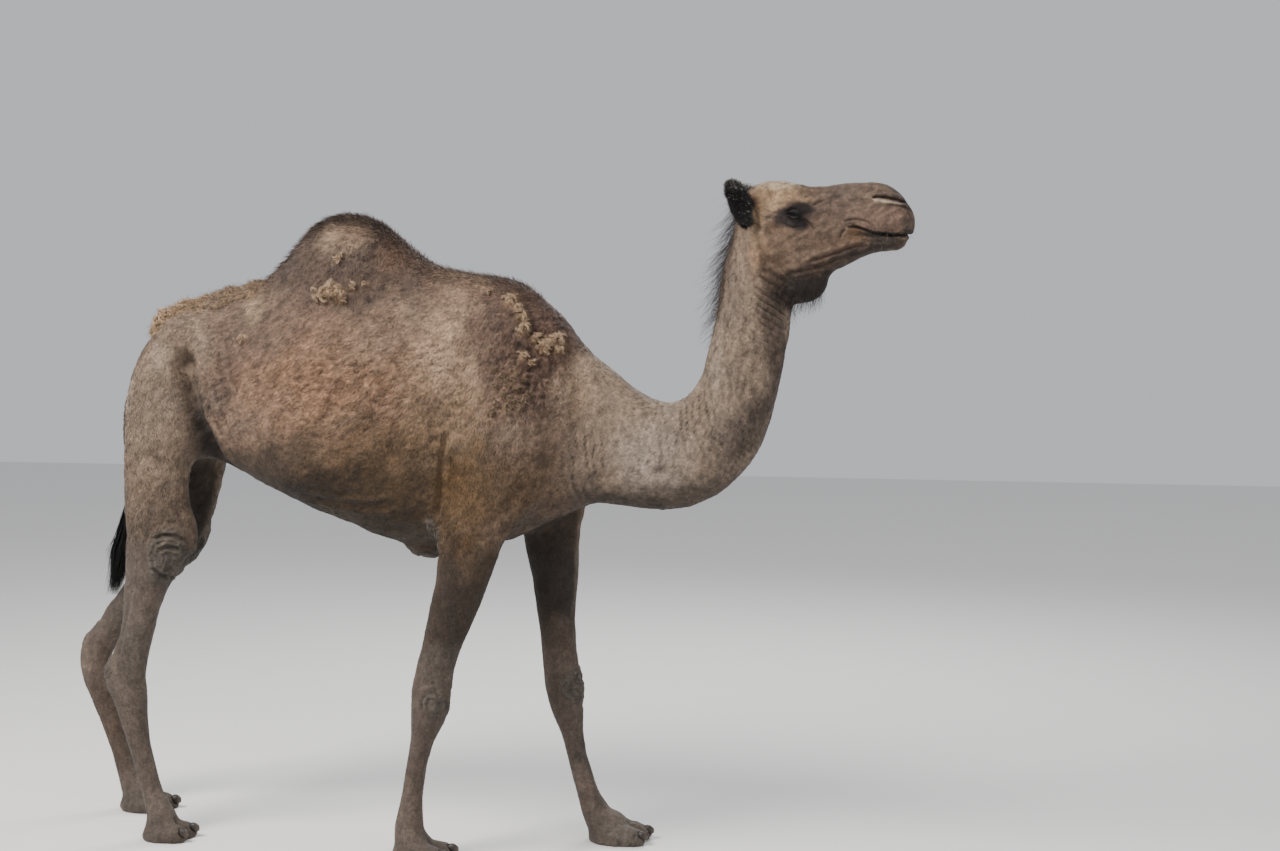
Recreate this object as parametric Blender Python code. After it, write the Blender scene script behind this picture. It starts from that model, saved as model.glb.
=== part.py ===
"""A life-size dromedary camel that stands in mid-stride, as a still museum model.

The body is lofted from sections along each part's own line, fused, and then parted with thin cuts
into the nodes that a person would name. Metres, +X to the head, +Y to the camel's left, +Z up.
The origin is on the ground under the middle of the body.
"""

import math

import bmesh
import bpy
import numpy as np
from mathutils import Matrix, Vector

# ---- driving dimensions ----
GAP = 0.0004            # between pieces that touch
VOXEL = 0.009           # the fused body's grid
BODY_TRIANGLES = 3200   # the fused body below the head, before it is parted
HEAD_TRIANGLES = 1050   # the head, before the eyes and the mouth are parted
SOLE_DEPTH = 0.02       # the feet are modelled this far below the ground, and then cut flat
RING_POINTS = 28

FORE_TRACK = 0.190      # half the distance between the fore feet
HIND_TRACK = 0.165      # half the distance between the hind feet
EYE_RADIUS = 0.0205
EYE_CENTRE = (1.105, 0.0745, 2.006)
EAR_BASE = (0.970, 0.076, 1.980)
EAR_TIP = (0.914, 0.104, 2.112)

# ---- trunk: x, top, bottom, height of the widest point, half width, narrowing to the top ----
TRUNK = [
    (-1.135, 1.520, 1.380, 1.450, 0.040, 0.00),
    (-1.105, 1.592, 1.300, 1.450, 0.095, 0.00),
    (-1.040, 1.692, 1.250, 1.460, 0.145, 0.05),
    (-0.930, 1.762, 1.235, 1.480, 0.190, 0.15),
    (-0.840, 1.792, 1.235, 1.470, 0.208, 0.20),
    (-0.740, 1.806, 1.200, 1.440, 0.222, 0.24),
    (-0.620, 1.822, 1.142, 1.400, 0.250, 0.24),
    (-0.480, 1.838, 1.084, 1.375, 0.285, 0.20),
    (-0.340, 1.850, 1.034, 1.360, 0.303, 0.16),
    (-0.200, 1.860, 0.985, 1.350, 0.300, 0.16),
    (-0.060, 1.868, 0.972, 1.350, 0.275, 0.20),
    (0.080, 1.860, 0.975, 1.350, 0.238, 0.24),
    (0.200, 1.842, 1.000, 1.350, 0.205, 0.24),
    (0.300, 1.782, 1.045, 1.345, 0.172, 0.20),
    (0.380, 1.700, 1.082, 1.340, 0.148, 0.12),
    (0.450, 1.600, 1.110, 1.335, 0.120, 0.05),
]
# ---- hump: x, top, bottom, widest height, half width, narrowing ----
HUMP = [
    (-0.740, 1.790, 1.700, 1.745, 0.030, 0.0),
    (-0.660, 1.840, 1.600, 1.710, 0.085, 0.0),
    (-0.600, 1.892, 1.560, 1.700, 0.118, 0.1),
    (-0.530, 1.968, 1.530, 1.700, 0.144, 0.1),
    (-0.460, 2.030, 1.500, 1.700, 0.160, 0.1),
    (-0.380, 2.056, 1.500, 1.700, 0.167, 0.1),
    (-0.305, 2.050, 1.500, 1.700, 0.165, 0.1),
    (-0.230, 2.010, 1.510, 1.700, 0.154, 0.1),
    (-0.160, 1.956, 1.540, 1.700, 0.134, 0.1),
    (-0.080, 1.896, 1.600, 1.720, 0.100, 0.0),
    (0.010, 1.862, 1.720, 1.780, 0.045, 0.0),
]
# ---- neck: x, z, half depth to the nape, half depth to the throat, half width ----
NECK = [
    (0.200, 1.430, 0.280, 0.290, 0.130, 0.0),
    (0.300, 1.400, 0.262, 0.280, 0.132, 0.0),
    (0.410, 1.362, 0.228, 0.262, 0.130, 0.0),
    (0.530, 1.310, 0.190, 0.205, 0.117, 0.0),
    (0.630, 1.278, 0.178, 0.178, 0.109, 0.0),
    (0.720, 1.278, 0.172, 0.175, 0.103, 0.0),
    (0.800, 1.312, 0.160, 0.165, 0.098, 0.0),
    (0.865, 1.375, 0.142, 0.150, 0.092, 0.0),
    (0.905, 1.450, 0.128, 0.135, 0.087, 0.0),
    (0.930, 1.540, 0.120, 0.130, 0.083, 0.0),
    (0.948, 1.640, 0.117, 0.127, 0.080, 0.0),
    (0.958, 1.740, 0.110, 0.118, 0.077, 0.0),
    (0.966, 1.840, 0.100, 0.110, 0.074, 0.0),
    (0.976, 1.930, 0.088, 0.100, 0.070, 0.0),
    (0.988, 2.010, 0.075, 0.085, 0.062, 0.0),
]
# ---- skull and upper lip: as the trunk ----
SKULL = [
    (0.925, 2.075, 1.930, 2.005, 0.040, 0.0),
    (0.955, 2.102, 1.880, 2.010, 0.064, 0.0),
    (1.000, 2.118, 1.850, 2.005, 0.077, 0.0),
    (1.050, 2.121, 1.840, 1.995, 0.084, 0.0),
    (1.100, 2.112, 1.850, 1.985, 0.083, 0.1),
    (1.150, 2.101, 1.865, 1.975, 0.072, 0.1),
    (1.200, 2.105, 1.885, 1.975, 0.062, 0.1),
    (1.260, 2.112, 1.905, 1.985, 0.055, 0.1),
    (1.320, 2.112, 1.925, 1.995, 0.053, 0.0),
    (1.370, 2.106, 1.938, 1.995, 0.055, -0.1),
    (1.410, 2.080, 1.942, 1.990, 0.053, -0.1),
    (1.440, 2.042, 1.944, 1.985, 0.045, -0.1),
    (1.459, 2.005, 1.955, 1.978, 0.026, 0.0),
]
JAW = [
    (1.020, 1.940, 1.800, 1.880, 0.058, 0.0),
    (1.080, 1.945, 1.815, 1.885, 0.066, 0.0),
    (1.140, 1.945, 1.810, 1.885, 0.062, 0.0),
    (1.200, 1.945, 1.832, 1.892, 0.052, 0.0),
    (1.260, 1.945, 1.861, 1.903, 0.044, 0.0),
    (1.320, 1.946, 1.889, 1.920, 0.040, 0.0),
    (1.370, 1.946, 1.899, 1.925, 0.039, 0.0),
    (1.410, 1.944, 1.901, 1.925, 0.034, 0.0),
    (1.437, 1.938, 1.915, 1.928, 0.018, 0.0),
]
# ---- legs: x, z, half depth forwards, half depth backwards, half width, distance from the middle ----
FORE_RIGHT = [
    (0.170, 1.620, 0.110, 0.110, 0.050, 0.120),
    (0.190, 1.450, 0.160, 0.150, 0.070, 0.145),
    (0.190, 1.300, 0.175, 0.165, 0.078, 0.155),
    (0.160, 1.170, 0.165, 0.155, 0.080, 0.162),
    (0.125, 1.080, 0.130, 0.128, 0.078, 0.168),
    (0.105, 1.000, 0.106, 0.106, 0.074, 0.172),
    (0.080, 0.890, 0.086, 0.086, 0.067, 0.174),
    (0.046, 0.790, 0.075, 0.072, 0.060, 0.175),
    (0.015, 0.690, 0.065, 0.064, 0.053, 0.176),
    (-0.010, 0.600, 0.063, 0.062, 0.050, 0.177),
    (-0.022, 0.530, 0.068, 0.067, 0.053, 0.178),
    (-0.030, 0.470, 0.066, 0.062, 0.052, 0.179),
    (-0.046, 0.405, 0.045, 0.046, 0.043, 0.181),
    (-0.062, 0.330, 0.034, 0.037, 0.035, 0.183),
    (-0.078, 0.240, 0.035, 0.037, 0.034, 0.186),
    (-0.090, 0.160, 0.039, 0.040, 0.038, 0.188),
    (-0.095, 0.110, 0.046, 0.048, 0.045, FORE_TRACK),
    (-0.088, 0.060, 0.056, 0.056, 0.052, FORE_TRACK),
    (-0.080, 0.020, 0.060, 0.060, 0.056, FORE_TRACK),
]
FORE_LEFT = [
    (0.190, 1.620, 0.110, 0.110, 0.050, 0.120),
    (0.225, 1.450, 0.160, 0.150, 0.070, 0.145),
    (0.250, 1.300, 0.170, 0.160, 0.078, 0.155),
    (0.262, 1.170, 0.150, 0.145, 0.080, 0.162),
    (0.268, 1.080, 0.118, 0.125, 0.078, 0.168),
    (0.267, 0.980, 0.095, 0.102, 0.072, 0.172),
    (0.273, 0.880, 0.082, 0.082, 0.064, 0.174),
    (0.277, 0.780, 0.068, 0.070, 0.057, 0.175),
    (0.283, 0.680, 0.060, 0.062, 0.052, 0.176),
    (0.292, 0.590, 0.060, 0.062, 0.050, 0.177),
    (0.300, 0.520, 0.063, 0.065, 0.052, 0.178),
    (0.309, 0.455, 0.062, 0.062, 0.052, 0.179),
    (0.322, 0.390, 0.047, 0.047, 0.043, 0.181),
    (0.337, 0.315, 0.035, 0.037, 0.035, 0.183),
    (0.360, 0.220, 0.036, 0.037, 0.034, 0.186),
    (0.384, 0.140, 0.039, 0.039, 0.038, 0.188),
    (0.402, 0.095, 0.046, 0.046, 0.045, FORE_TRACK),
    (0.428, 0.055, 0.056, 0.054, 0.052, FORE_TRACK),
    (0.445, 0.020, 0.060, 0.060, 0.056, FORE_TRACK),
]
HIND_RIGHT = [
    (-0.900, 1.680, 0.090, 0.090, 0.050, 0.085),
    (-0.930, 1.580, 0.130, 0.120, 0.070, 0.115),
    (-0.958, 1.480, 0.150, 0.138, 0.080, 0.130),
    (-0.975, 1.360, 0.145, 0.138, 0.085, 0.138),
    (-0.982, 1.230, 0.125, 0.130, 0.083, 0.148),
    (-0.980, 1.110, 0.115, 0.127, 0.080, 0.160),
    (-0.975, 1.010, 0.108, 0.122, 0.074, 0.165),
    (-0.988, 0.930, 0.104, 0.108, 0.068, 0.165),
    (-1.012, 0.860, 0.080, 0.084, 0.060, 0.165),
    (-1.034, 0.780, 0.066, 0.064, 0.052, 0.165),
    (-1.055, 0.680, 0.058, 0.058, 0.046, 0.164),
    (-1.077, 0.590, 0.055, 0.064, 0.044, 0.163),
    (-1.090, 0.520, 0.060, 0.078, 0.046, 0.162),
    (-1.080, 0.450, 0.058, 0.062, 0.046, 0.162),
    (-1.070, 0.380, 0.047, 0.048, 0.041, 0.162),
    (-1.052, 0.300, 0.038, 0.040, 0.036, 0.163),
    (-1.024, 0.210, 0.034, 0.036, 0.034, 0.164),
    (-1.003, 0.140, 0.036, 0.037, 0.037, HIND_TRACK),
    (-0.985, 0.095, 0.044, 0.044, 0.043, HIND_TRACK),
    (-0.970, 0.055, 0.052, 0.052, 0.049, HIND_TRACK),
    (-0.962, 0.020, 0.056, 0.056, 0.052, HIND_TRACK),
]
HIND_LEFT = [
    (-0.900, 1.680, 0.090, 0.090, 0.050, 0.085),
    (-0.935, 1.580, 0.130, 0.120, 0.070, 0.115),
    (-0.968, 1.480, 0.150, 0.138, 0.080, 0.130),
    (-0.992, 1.360, 0.145, 0.130, 0.085, 0.138),
    (-1.012, 1.230, 0.128, 0.122, 0.083, 0.148),
    (-1.036, 1.110, 0.116, 0.118, 0.080, 0.160),
    (-1.068, 1.010, 0.106, 0.115, 0.074, 0.165),
    (-1.110, 0.930, 0.098, 0.100, 0.068, 0.165),
    (-1.162, 0.855, 0.078, 0.080, 0.060, 0.165),
    (-1.225, 0.775, 0.062, 0.062, 0.052, 0.165),
    (-1.300, 0.685, 0.054, 0.056, 0.046, 0.164),
    (-1.362, 0.610, 0.052, 0.056, 0.044, 0.163),
    (-1.400, 0.545, 0.054, 0.066, 0.046, 0.162),
    (-1.400, 0.475, 0.056, 0.060, 0.046, 0.162),
    (-1.378, 0.395, 0.046, 0.048, 0.041, 0.162),
    (-1.350, 0.310, 0.038, 0.040, 0.036, 0.163),
    (-1.318, 0.220, 0.034, 0.036, 0.034, 0.164),
    (-1.292, 0.140, 0.036, 0.037, 0.037, HIND_TRACK),
    (-1.275, 0.095, 0.044, 0.044, 0.043, HIND_TRACK),
    (-1.255, 0.055, 0.052, 0.052, 0.049, HIND_TRACK),
    (-1.245, 0.020, 0.056, 0.056, 0.052, HIND_TRACK),
]
# ---- tail and its tuft, down the middle of the rump ----
TAIL = [
    (-0.985, 1.690, 0.026, 0.034, 0.036, 0.0),
    (-1.056, 1.612, 0.030, 0.036, 0.036, 0.0),
    (-1.112, 1.525, 0.028, 0.030, 0.033, 0.0),
    (-1.160, 1.440, 0.025, 0.026, 0.028, 0.0),
    (-1.176, 1.320, 0.020, 0.021, 0.022, 0.0),
    (-1.176, 1.180, 0.017, 0.018, 0.018, 0.0),
    (-1.178, 1.070, 0.016, 0.017, 0.017, 0.0),
    (-1.188, 0.990, 0.026, 0.026, 0.026, 0.0),
    (-1.206, 0.920, 0.034, 0.036, 0.034, 0.0),
    (-1.222, 0.850, 0.030, 0.034, 0.030, 0.0),
    (-1.234, 0.790, 0.016, 0.018, 0.016, 0.0),
    (-1.238, 0.765, 0.006, 0.006, 0.006, 0.0),
]
# ---- feet: heel x, toe x, side of the body, distance from the middle, half width ----
FEET = {
    "fore_right": (-0.156, 0.052, -1, FORE_TRACK, 0.088),
    "fore_left": (0.380, 0.590, 1, FORE_TRACK, 0.088),
    "hind_right": (-1.040, -0.862, -1, HIND_TRACK, 0.080),
    "hind_left": (-1.318, -1.108, 1, HIND_TRACK, 0.080),
}
# ---- muscle and bone that stand out from the lofts: centre, radii, pitch ----
RIGHT_MASSES = [
    ((0.215, -0.115, 1.500), (0.120, 0.075, 0.260), -14.0),
    ((0.205, -0.172, 1.235), (0.115, 0.062, 0.140), 20.0),
    ((0.015, -0.172, 1.085), (0.045, 0.050, 0.055), 0.0),
    ((-0.960, -0.140, 1.450), (0.135, 0.080, 0.210), 0.0),
    ((-0.868, -0.165, 1.015), (0.045, 0.050, 0.090), 0.0),
    ((-0.900, -0.125, 1.650), (0.090, 0.070, 0.080), 0.0),
]
LEFT_MASSES = [
    ((0.240, 0.115, 1.500), (0.120, 0.075, 0.260), -10.0),
    ((0.290, 0.172, 1.235), (0.110, 0.062, 0.140), 10.0),
    ((0.175, 0.172, 1.085), (0.045, 0.050, 0.055), 0.0),
    ((-0.965, 0.140, 1.450), (0.135, 0.080, 0.210), 0.0),
    ((-0.990, 0.165, 1.040), (0.044, 0.048, 0.090), 20.0),
    ((-0.900, 0.125, 1.650), (0.090, 0.070, 0.080), 0.0),
]
MIDDLE_MASSES = [
    ((-0.092, 0.0, 0.990), (0.098, 0.080, 0.056), 0.0),
    ((0.330, 0.0, 1.200), (0.120, 0.130, 0.140), 0.0),
    ((1.126, 0.0, 1.812), (0.078, 0.045, 0.075), -20.0),
    ((1.036, 0.0, 1.690), (0.054, 0.052, 0.110), 0.0),
]
HEAD_MASSES = [
    ((1.080, 0.058, 2.028), (0.052, 0.034, 0.036), 10.0),
    ((1.090, 0.064, 1.982), (0.050, 0.024, 0.022), 22.0),
    ((1.030, 0.052, 1.925), (0.062, 0.032, 0.060), 0.0),
    ((1.380, 0.034, 2.042), (0.056, 0.022, 0.022), 15.0),
    ((1.425, 0.024, 1.972), (0.030, 0.026, 0.030), 0.0),
]


def smooth_rows(rows, count):
    """Rows read along a smooth curve through all the given rows, evenly along its length."""
    rows = np.asarray(rows, float)
    steps = np.linalg.norm(np.diff(rows[:, :3], axis=0), axis=1)
    knots = np.concatenate([[0.0], np.cumsum(steps)])
    slopes = np.gradient(rows, knots, axis=0)
    wanted = np.linspace(0.0, knots[-1], count)
    left = np.clip(np.searchsorted(knots, wanted, side="right") - 1, 0, len(rows) - 2)
    width = (knots[left + 1] - knots[left])[:, None]
    t = (wanted - knots[left])[:, None] / width
    return (
        (2 * t**3 - 3 * t**2 + 1) * rows[left]
        + (t**3 - 2 * t**2 + t) * width * slopes[left]
        + (3 * t**2 - 2 * t**3) * rows[left + 1]
        + (t**3 - t**2) * width * slopes[left + 1]
    )


def mesh_object(name, points, faces):
    mesh = bpy.data.meshes.new(name)
    mesh.from_pydata([tuple(p) for p in points], [], [tuple(int(i) for i in f) for f in faces])
    mesh.update()
    obj = bpy.data.objects.new(name, mesh)
    bpy.context.scene.collection.objects.link(obj)
    return obj


def loft(name, centres, normals, plus, minus, side, narrowing, points=RING_POINTS):
    """A closed skin over oval rings. Each ring spans `plus` along its normal and `minus` against it, and `side` along Y."""
    turn = np.linspace(0.0, 2 * math.pi, points, endpoint=False)
    up, across = np.sin(turn)[None, :], np.cos(turn)[None, :]
    depth = np.where(up > 0, plus[:, None], minus[:, None]) * up
    width = side[:, None] * across * (1 - narrowing[:, None] * up)
    rings = (
        centres[:, None, :]
        + depth[:, :, None] * normals[:, None, :]
        + width[:, :, None] * np.array([0.0, 1.0, 0.0])
    )
    count = len(centres)
    faces = [
        (r * points + i, (r + 1) * points + i, (r + 1) * points + (i + 1) % points, r * points + (i + 1) % points)
        for r in range(count - 1)
        for i in range(points)
    ]
    faces.append(tuple(range(points)))
    faces.append(tuple(reversed(range((count - 1) * points, count * points))))
    obj = mesh_object(name, rings.reshape(-1, 3), faces)
    close_normals(obj)
    return obj


def close_normals(obj):
    bm = bmesh.new()
    bm.from_mesh(obj.data)
    bmesh.ops.recalc_face_normals(bm, faces=bm.faces)
    if bm.calc_volume(signed=True) < 0:
        bmesh.ops.reverse_faces(bm, faces=bm.faces)
    bm.to_mesh(obj.data)
    bm.free()


def upright_loft(name, stations, count):
    """A loft of upright sections: x, top, bottom, widest height, half width, narrowing."""
    rows = smooth_rows([(x, 0.0, mid, top - mid, mid - low, side, k) for x, top, low, mid, side, k in stations], count)
    normals = np.tile([0.0, 0.0, 1.0], (count, 1))
    return loft(name, rows[:, :3], normals, rows[:, 3], rows[:, 4], rows[:, 5], rows[:, 6])


def bent_loft(name, stations, count, side_sign=1.0, points=RING_POINTS):
    """A loft whose sections stand square to its line: x, z, plus, minus, half width, distance from the middle."""
    rows = smooth_rows([(x, side_sign * y, z, plus, minus, side) for x, z, plus, minus, side, y in stations], count)
    run = np.gradient(rows[:, [0, 2]], axis=0)
    run /= np.linalg.norm(run, axis=1)[:, None]
    normals = np.stack([-run[:, 1], np.zeros(count), run[:, 0]], axis=1)
    flat = np.zeros(count)
    return loft(name, rows[:, :3], normals, rows[:, 3], rows[:, 4], rows[:, 5], flat, points)


def ellipsoid(name, centre, radii, pitch=0.0, yaw=0.0, segments=24):
    """An ellipsoid, pitched nose-down about Y and then turned about Z, in degrees."""
    bm = bmesh.new()
    bmesh.ops.create_uvsphere(bm, u_segments=segments, v_segments=segments // 2, radius=1.0)
    turn = Matrix.Rotation(math.radians(yaw), 4, "Z") @ Matrix.Rotation(math.radians(pitch), 4, "Y")
    bm.transform(Matrix.Translation(centre) @ turn @ Matrix.Diagonal((*radii, 1.0)))
    mesh = bpy.data.meshes.new(name)
    bm.to_mesh(mesh)
    bm.free()
    obj = bpy.data.objects.new(name, mesh)
    bpy.context.scene.collection.objects.link(obj)
    return obj


def join(name, objects):
    """One object that holds every face of the given ones."""
    bm = bmesh.new()
    for obj in objects:
        bm.from_mesh(obj.data)
        bpy.data.objects.remove(obj)
    mesh = bpy.data.meshes.new(name)
    bm.to_mesh(mesh)
    bm.free()
    obj = bpy.data.objects.new(name, mesh)
    bpy.context.scene.collection.objects.link(obj)
    return obj


def bake(obj):
    """Replaces the object's mesh with what its modifiers make of it."""
    bpy.context.view_layer.update()
    graph = bpy.context.evaluated_depsgraph_get()
    mesh = bpy.data.meshes.new_from_object(obj.evaluated_get(graph))
    obj.modifiers.clear()
    obj.data = mesh


def points_of(mesh):
    points = np.empty(len(mesh.vertices) * 3, np.float32)
    mesh.vertices.foreach_get("co", points)
    return points.reshape(-1, 3).astype(float)


def relax(obj, weights, passes):
    """Rounds the creases of a skin: each pass draws every point towards its neighbours by half its weight."""
    mesh = obj.data
    points = points_of(mesh)
    ends = np.empty(len(mesh.edges) * 2, np.int32)
    mesh.edges.foreach_get("vertices", ends)
    ends = ends.reshape(-1, 2)
    home, other = ends.ravel(), ends[:, ::-1].ravel()
    count = np.bincount(home, minlength=len(points))[:, None]
    scale = weights(points)[:, None]
    for _ in range(passes):
        near = points[other]
        total = np.stack([np.bincount(home, near[:, k], len(points)) for k in range(3)], axis=1)
        points += 0.5 * scale * (total / count - points)
    mesh.vertices.foreach_set("co", points.astype(np.float32).ravel())
    mesh.update()


def ramp(value, low, high):
    t = np.clip((value - low) / (high - low), 0.0, 1.0)
    return t * t * (3 - 2 * t)


def smoothing(points):
    """Full where the legs, neck and hump run into the trunk, and light on the limbs and the face."""
    x, z = points[:, 0], points[:, 2]
    trunk = ramp(z, 0.90, 1.20) * (1 - ramp(x, 0.50, 0.75))
    neck = 0.30 * ramp(x, 0.50, 0.75) * ramp(z, 0.90, 1.10)
    face = ramp(z, 1.78, 1.88) * ramp(x, 0.92, 1.02)
    return np.maximum(0.06, np.maximum(trunk, neck) * (1 - face) + 0.09 * face)


def on_head(points):
    return (points[:, 0] > 0.93) & (points[:, 2] > 1.76)


def fuse(parts):
    """One smooth body from the parts that cross one another."""
    body = join("body", parts)
    grid = body.modifiers.new("grid", "REMESH")
    grid.mode = "VOXEL"
    grid.voxel_size = VOXEL
    bake(body)
    relax(body, smoothing, 90)
    return body


def split_faces(body):
    split = body.modifiers.new("split", "TRIANGULATE")
    split.min_vertices = 4
    bake(body)


def thin(body, chosen, triangles):
    """Leaves about so many triangles on the chosen points, and the others as they are."""
    picked = chosen(points_of(body.data))
    inside = sum(all(picked[i] for i in polygon.vertices) for polygon in body.data.polygons)
    total = len(body.data.polygons)
    group = body.vertex_groups.new(name="thin")
    group.add([int(i) for i in np.flatnonzero(picked)], 1.0, "REPLACE")
    fewer = body.modifiers.new("fewer", "DECIMATE")
    fewer.ratio = (total - inside + triangles) / total
    fewer.vertex_group = "thin"
    fewer.vertex_group_factor = 1.0
    bake(body)
    body.vertex_groups.clear()


def slab(centre, size, tilt=0.0, thick=GAP):
    """A thin plate, lying flat before it is tilted nose-down about Y by `tilt` degrees."""
    bm = bmesh.new()
    bmesh.ops.create_cube(bm, size=1.0)
    turn = Matrix.Rotation(math.radians(tilt), 4, "Y")
    bm.transform(Matrix.Translation(centre) @ turn @ Matrix.Diagonal((size[0], size[1], thick, 1.0)))
    mesh = bpy.data.meshes.new("slab")
    bm.to_mesh(mesh)
    bm.free()
    obj = bpy.data.objects.new("slab", mesh)
    bpy.context.scene.collection.objects.link(obj)
    return obj


def cut(obj, cutter, keep_cutter=False, operation="DIFFERENCE"):
    step = obj.modifiers.new("cut", "BOOLEAN")
    step.operation = operation
    step.solver = "EXACT"
    step.object = cutter
    bake(obj)
    if not keep_cutter:
        bpy.data.objects.remove(cutter)


def swollen(obj, by=GAP):
    """A copy of the object that stands out from it by the gap."""
    bm = bmesh.new()
    bm.from_mesh(obj.data)
    bm.normal_update()
    for vertex in bm.verts:
        vertex.co += vertex.normal * by
    mesh = bpy.data.meshes.new("swollen")
    bm.to_mesh(mesh)
    bm.free()
    copy = bpy.data.objects.new("swollen", mesh)
    bpy.context.scene.collection.objects.link(copy)
    return copy


def islands(obj):
    """The separate closed pieces of an object, each as a new object."""
    mesh = obj.data
    ends = np.array([edge.vertices[:] for edge in mesh.edges])
    label = np.arange(len(mesh.vertices))
    while True:
        low = np.minimum(label[ends[:, 0]], label[ends[:, 1]])
        new = label.copy()
        np.minimum.at(new, ends[:, 0], low)
        np.minimum.at(new, ends[:, 1], low)
        new = new[new]
        if (new == label).all():
            break
        label = new
    points = points_of(mesh)
    faces = [polygon.vertices[:] for polygon in mesh.polygons]
    owner = np.array([label[face[0]] for face in faces])
    pieces = []
    for key in np.unique(owner):
        chosen = [faces[i] for i in np.flatnonzero(owner == key)]
        used = np.unique(np.concatenate([np.array(face) for face in chosen]))
        index = {int(v): i for i, v in enumerate(used)}
        pieces.append(mesh_object("piece", points[used], [[index[v] for v in face] for face in chosen]))
    bpy.data.objects.remove(obj)
    return pieces


def extent(obj):
    points = points_of(obj.data)
    return points.min(axis=0), points.max(axis=0)


def name_pieces(pieces, seeds):
    """Names each piece after the seed nearest the middle of its box, and drops crumbs."""
    kept = {}
    for piece in pieces:
        low, high = extent(piece)
        if np.linalg.norm(high - low) < 0.02:
            bpy.data.objects.remove(piece)
            continue
        middle = (low + high) / 2
        name = min(seeds, key=lambda key: np.linalg.norm(middle - np.array(seeds[key])))
        if name in kept:
            raise ValueError(f"two pieces are nearest {name}")
        piece.name = name
        piece.data.name = name
        kept[name] = piece
    missing = set(seeds) - set(kept)
    if missing:
        raise ValueError(f"no piece for {sorted(missing)}")
    return kept


def foot_parts(name):
    """The pad and the two toes of one foot, as crossing ellipsoids."""
    heel, toe, side, track, half = FEET[name]
    length, y = toe - heel, side * track
    parts = [
        ellipsoid("pad", (heel + 0.47 * length, y, 0.014), (0.47 * length, half, 0.046)),
        ellipsoid("crown", (heel + 0.36 * length, y, 0.050), (0.30 * length, 0.66 * half, 0.050), pitch=12),
    ]
    for turn in (-1, 1):
        centre = (heel + 0.68 * length, y + turn * 0.42 * half, 0.020)
        parts.append(ellipsoid("toe", centre, (0.32 * length, 0.47 * half, 0.038), pitch=6, yaw=turn * 7))
    return parts


def nail(name, foot, turn):
    """A toe's short blunt nail, set into the front of the foot."""
    heel, toe, side, track, half = FEET[foot]
    centre = (toe - 0.016, side * track + turn * 0.47 * half, 0.031)
    obj = ellipsoid(name, centre, (0.022, 0.014, 0.017), pitch=24, yaw=turn * 8, segments=8)
    cut(obj, slab((toe, side * track, 0.004), (0.2, 0.2), thick=0.012))
    return obj


def mirrored(rows):
    """The rows, and the same on the other side."""
    return rows + [((x, -y, z), radii, pitch) for (x, y, z), radii, pitch in rows]


def make_body():
    parts = [
        upright_loft("trunk", TRUNK, 60),
        upright_loft("hump", HUMP, 30),
        upright_loft("skull", SKULL, 40),
        upright_loft("jaw", JAW, 30),
        bent_loft("neck", NECK, 60),
        bent_loft("fore_right", FORE_RIGHT, 70, -1.0),
        bent_loft("fore_left", FORE_LEFT, 70),
        bent_loft("hind_right", HIND_RIGHT, 70, -1.0),
        bent_loft("hind_left", HIND_LEFT, 70),
    ]
    for centre, radii, pitch in RIGHT_MASSES + LEFT_MASSES + MIDDLE_MASSES + mirrored(HEAD_MASSES):
        parts.append(ellipsoid("mass", centre, radii, pitch=pitch))
    for foot in FEET:
        parts += foot_parts(foot)
    body = fuse(parts)
    split_faces(body)
    thin(body, lambda points: ~on_head(points), BODY_TRIANGLES)
    thin(body, on_head, HEAD_TRIANGLES)
    cut(body, slab((0.0, 0.0, -0.2), (4.0, 2.0), thick=0.4))
    return body


def make_ear(name, side):
    """A leaf-shaped ear, cupped to the outside and laid back along the neck."""
    rows, around = 8, 10
    base, tip = Vector(EAR_BASE), Vector(EAR_TIP)
    length = (tip - base).length
    line = (tip - base).normalized()
    out = Vector((-0.25, 0.95, 0.0)).normalized()
    across = line.cross(out).normalized()
    out = across.cross(line).normalized()
    points = []
    for r in range(rows):
        t = r / (rows - 1)
        width = 0.004 + 0.038 * math.sin(math.pi * (0.14 + 0.86 * t)) ** 0.75
        centre = base + line * (length * t)
        for i in range(around):
            angle = 2 * math.pi * i / around
            u, v = math.cos(angle), math.sin(angle)
            cup = -0.45 * width * (1 - u * u)
            point = centre + across * (width * u) + out * (v * 0.007 + cup)
            points.append(Vector((point.x, side * point.y, point.z)))
    faces = [
        (r * around + i, (r + 1) * around + i, (r + 1) * around + (i + 1) % around, r * around + (i + 1) % around)
        for r in range(rows - 1)
        for i in range(around)
    ]
    faces += [tuple(range(around)), tuple(reversed(range((rows - 1) * around, rows * around)))]
    obj = mesh_object(name, points, faces)
    close_normals(obj)
    return obj


def make_cuts(body):
    """Parts the body with thin plates: each goes right through what it parts and touches nothing else."""
    cut(body, slab((0.998, 0.0, 1.862), (0.50, 0.40), tilt=45))
    cut(body, slab((0.910, 0.0, 1.453), (0.52, 0.50), tilt=37))
    cut(body, slab((0.440, 0.0, 1.390), (0.90, 0.60), tilt=90))
    cut(body, slab((-0.320, 0.0, 1.875), (0.86, 0.70)))
    cut(body, slab((-0.110, 0.0, 0.962), (0.26, 0.19)))
    jaw = slab((1.330, 0.0, 1.9425), (0.366, 0.30), tilt=-2)
    upright = slab((1.152, 0.0, 1.850), (0.20, 0.30), tilt=88)
    cut(body, jaw)
    cut(body, upright)
    for name, levels in LEG_CUTS.items():
        side = -1 if name.endswith("right") else 1
        for x, z in levels:
            cut(body, slab((x, side * 0.21, z), (0.40, 0.25)))
    return islands(body)


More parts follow.
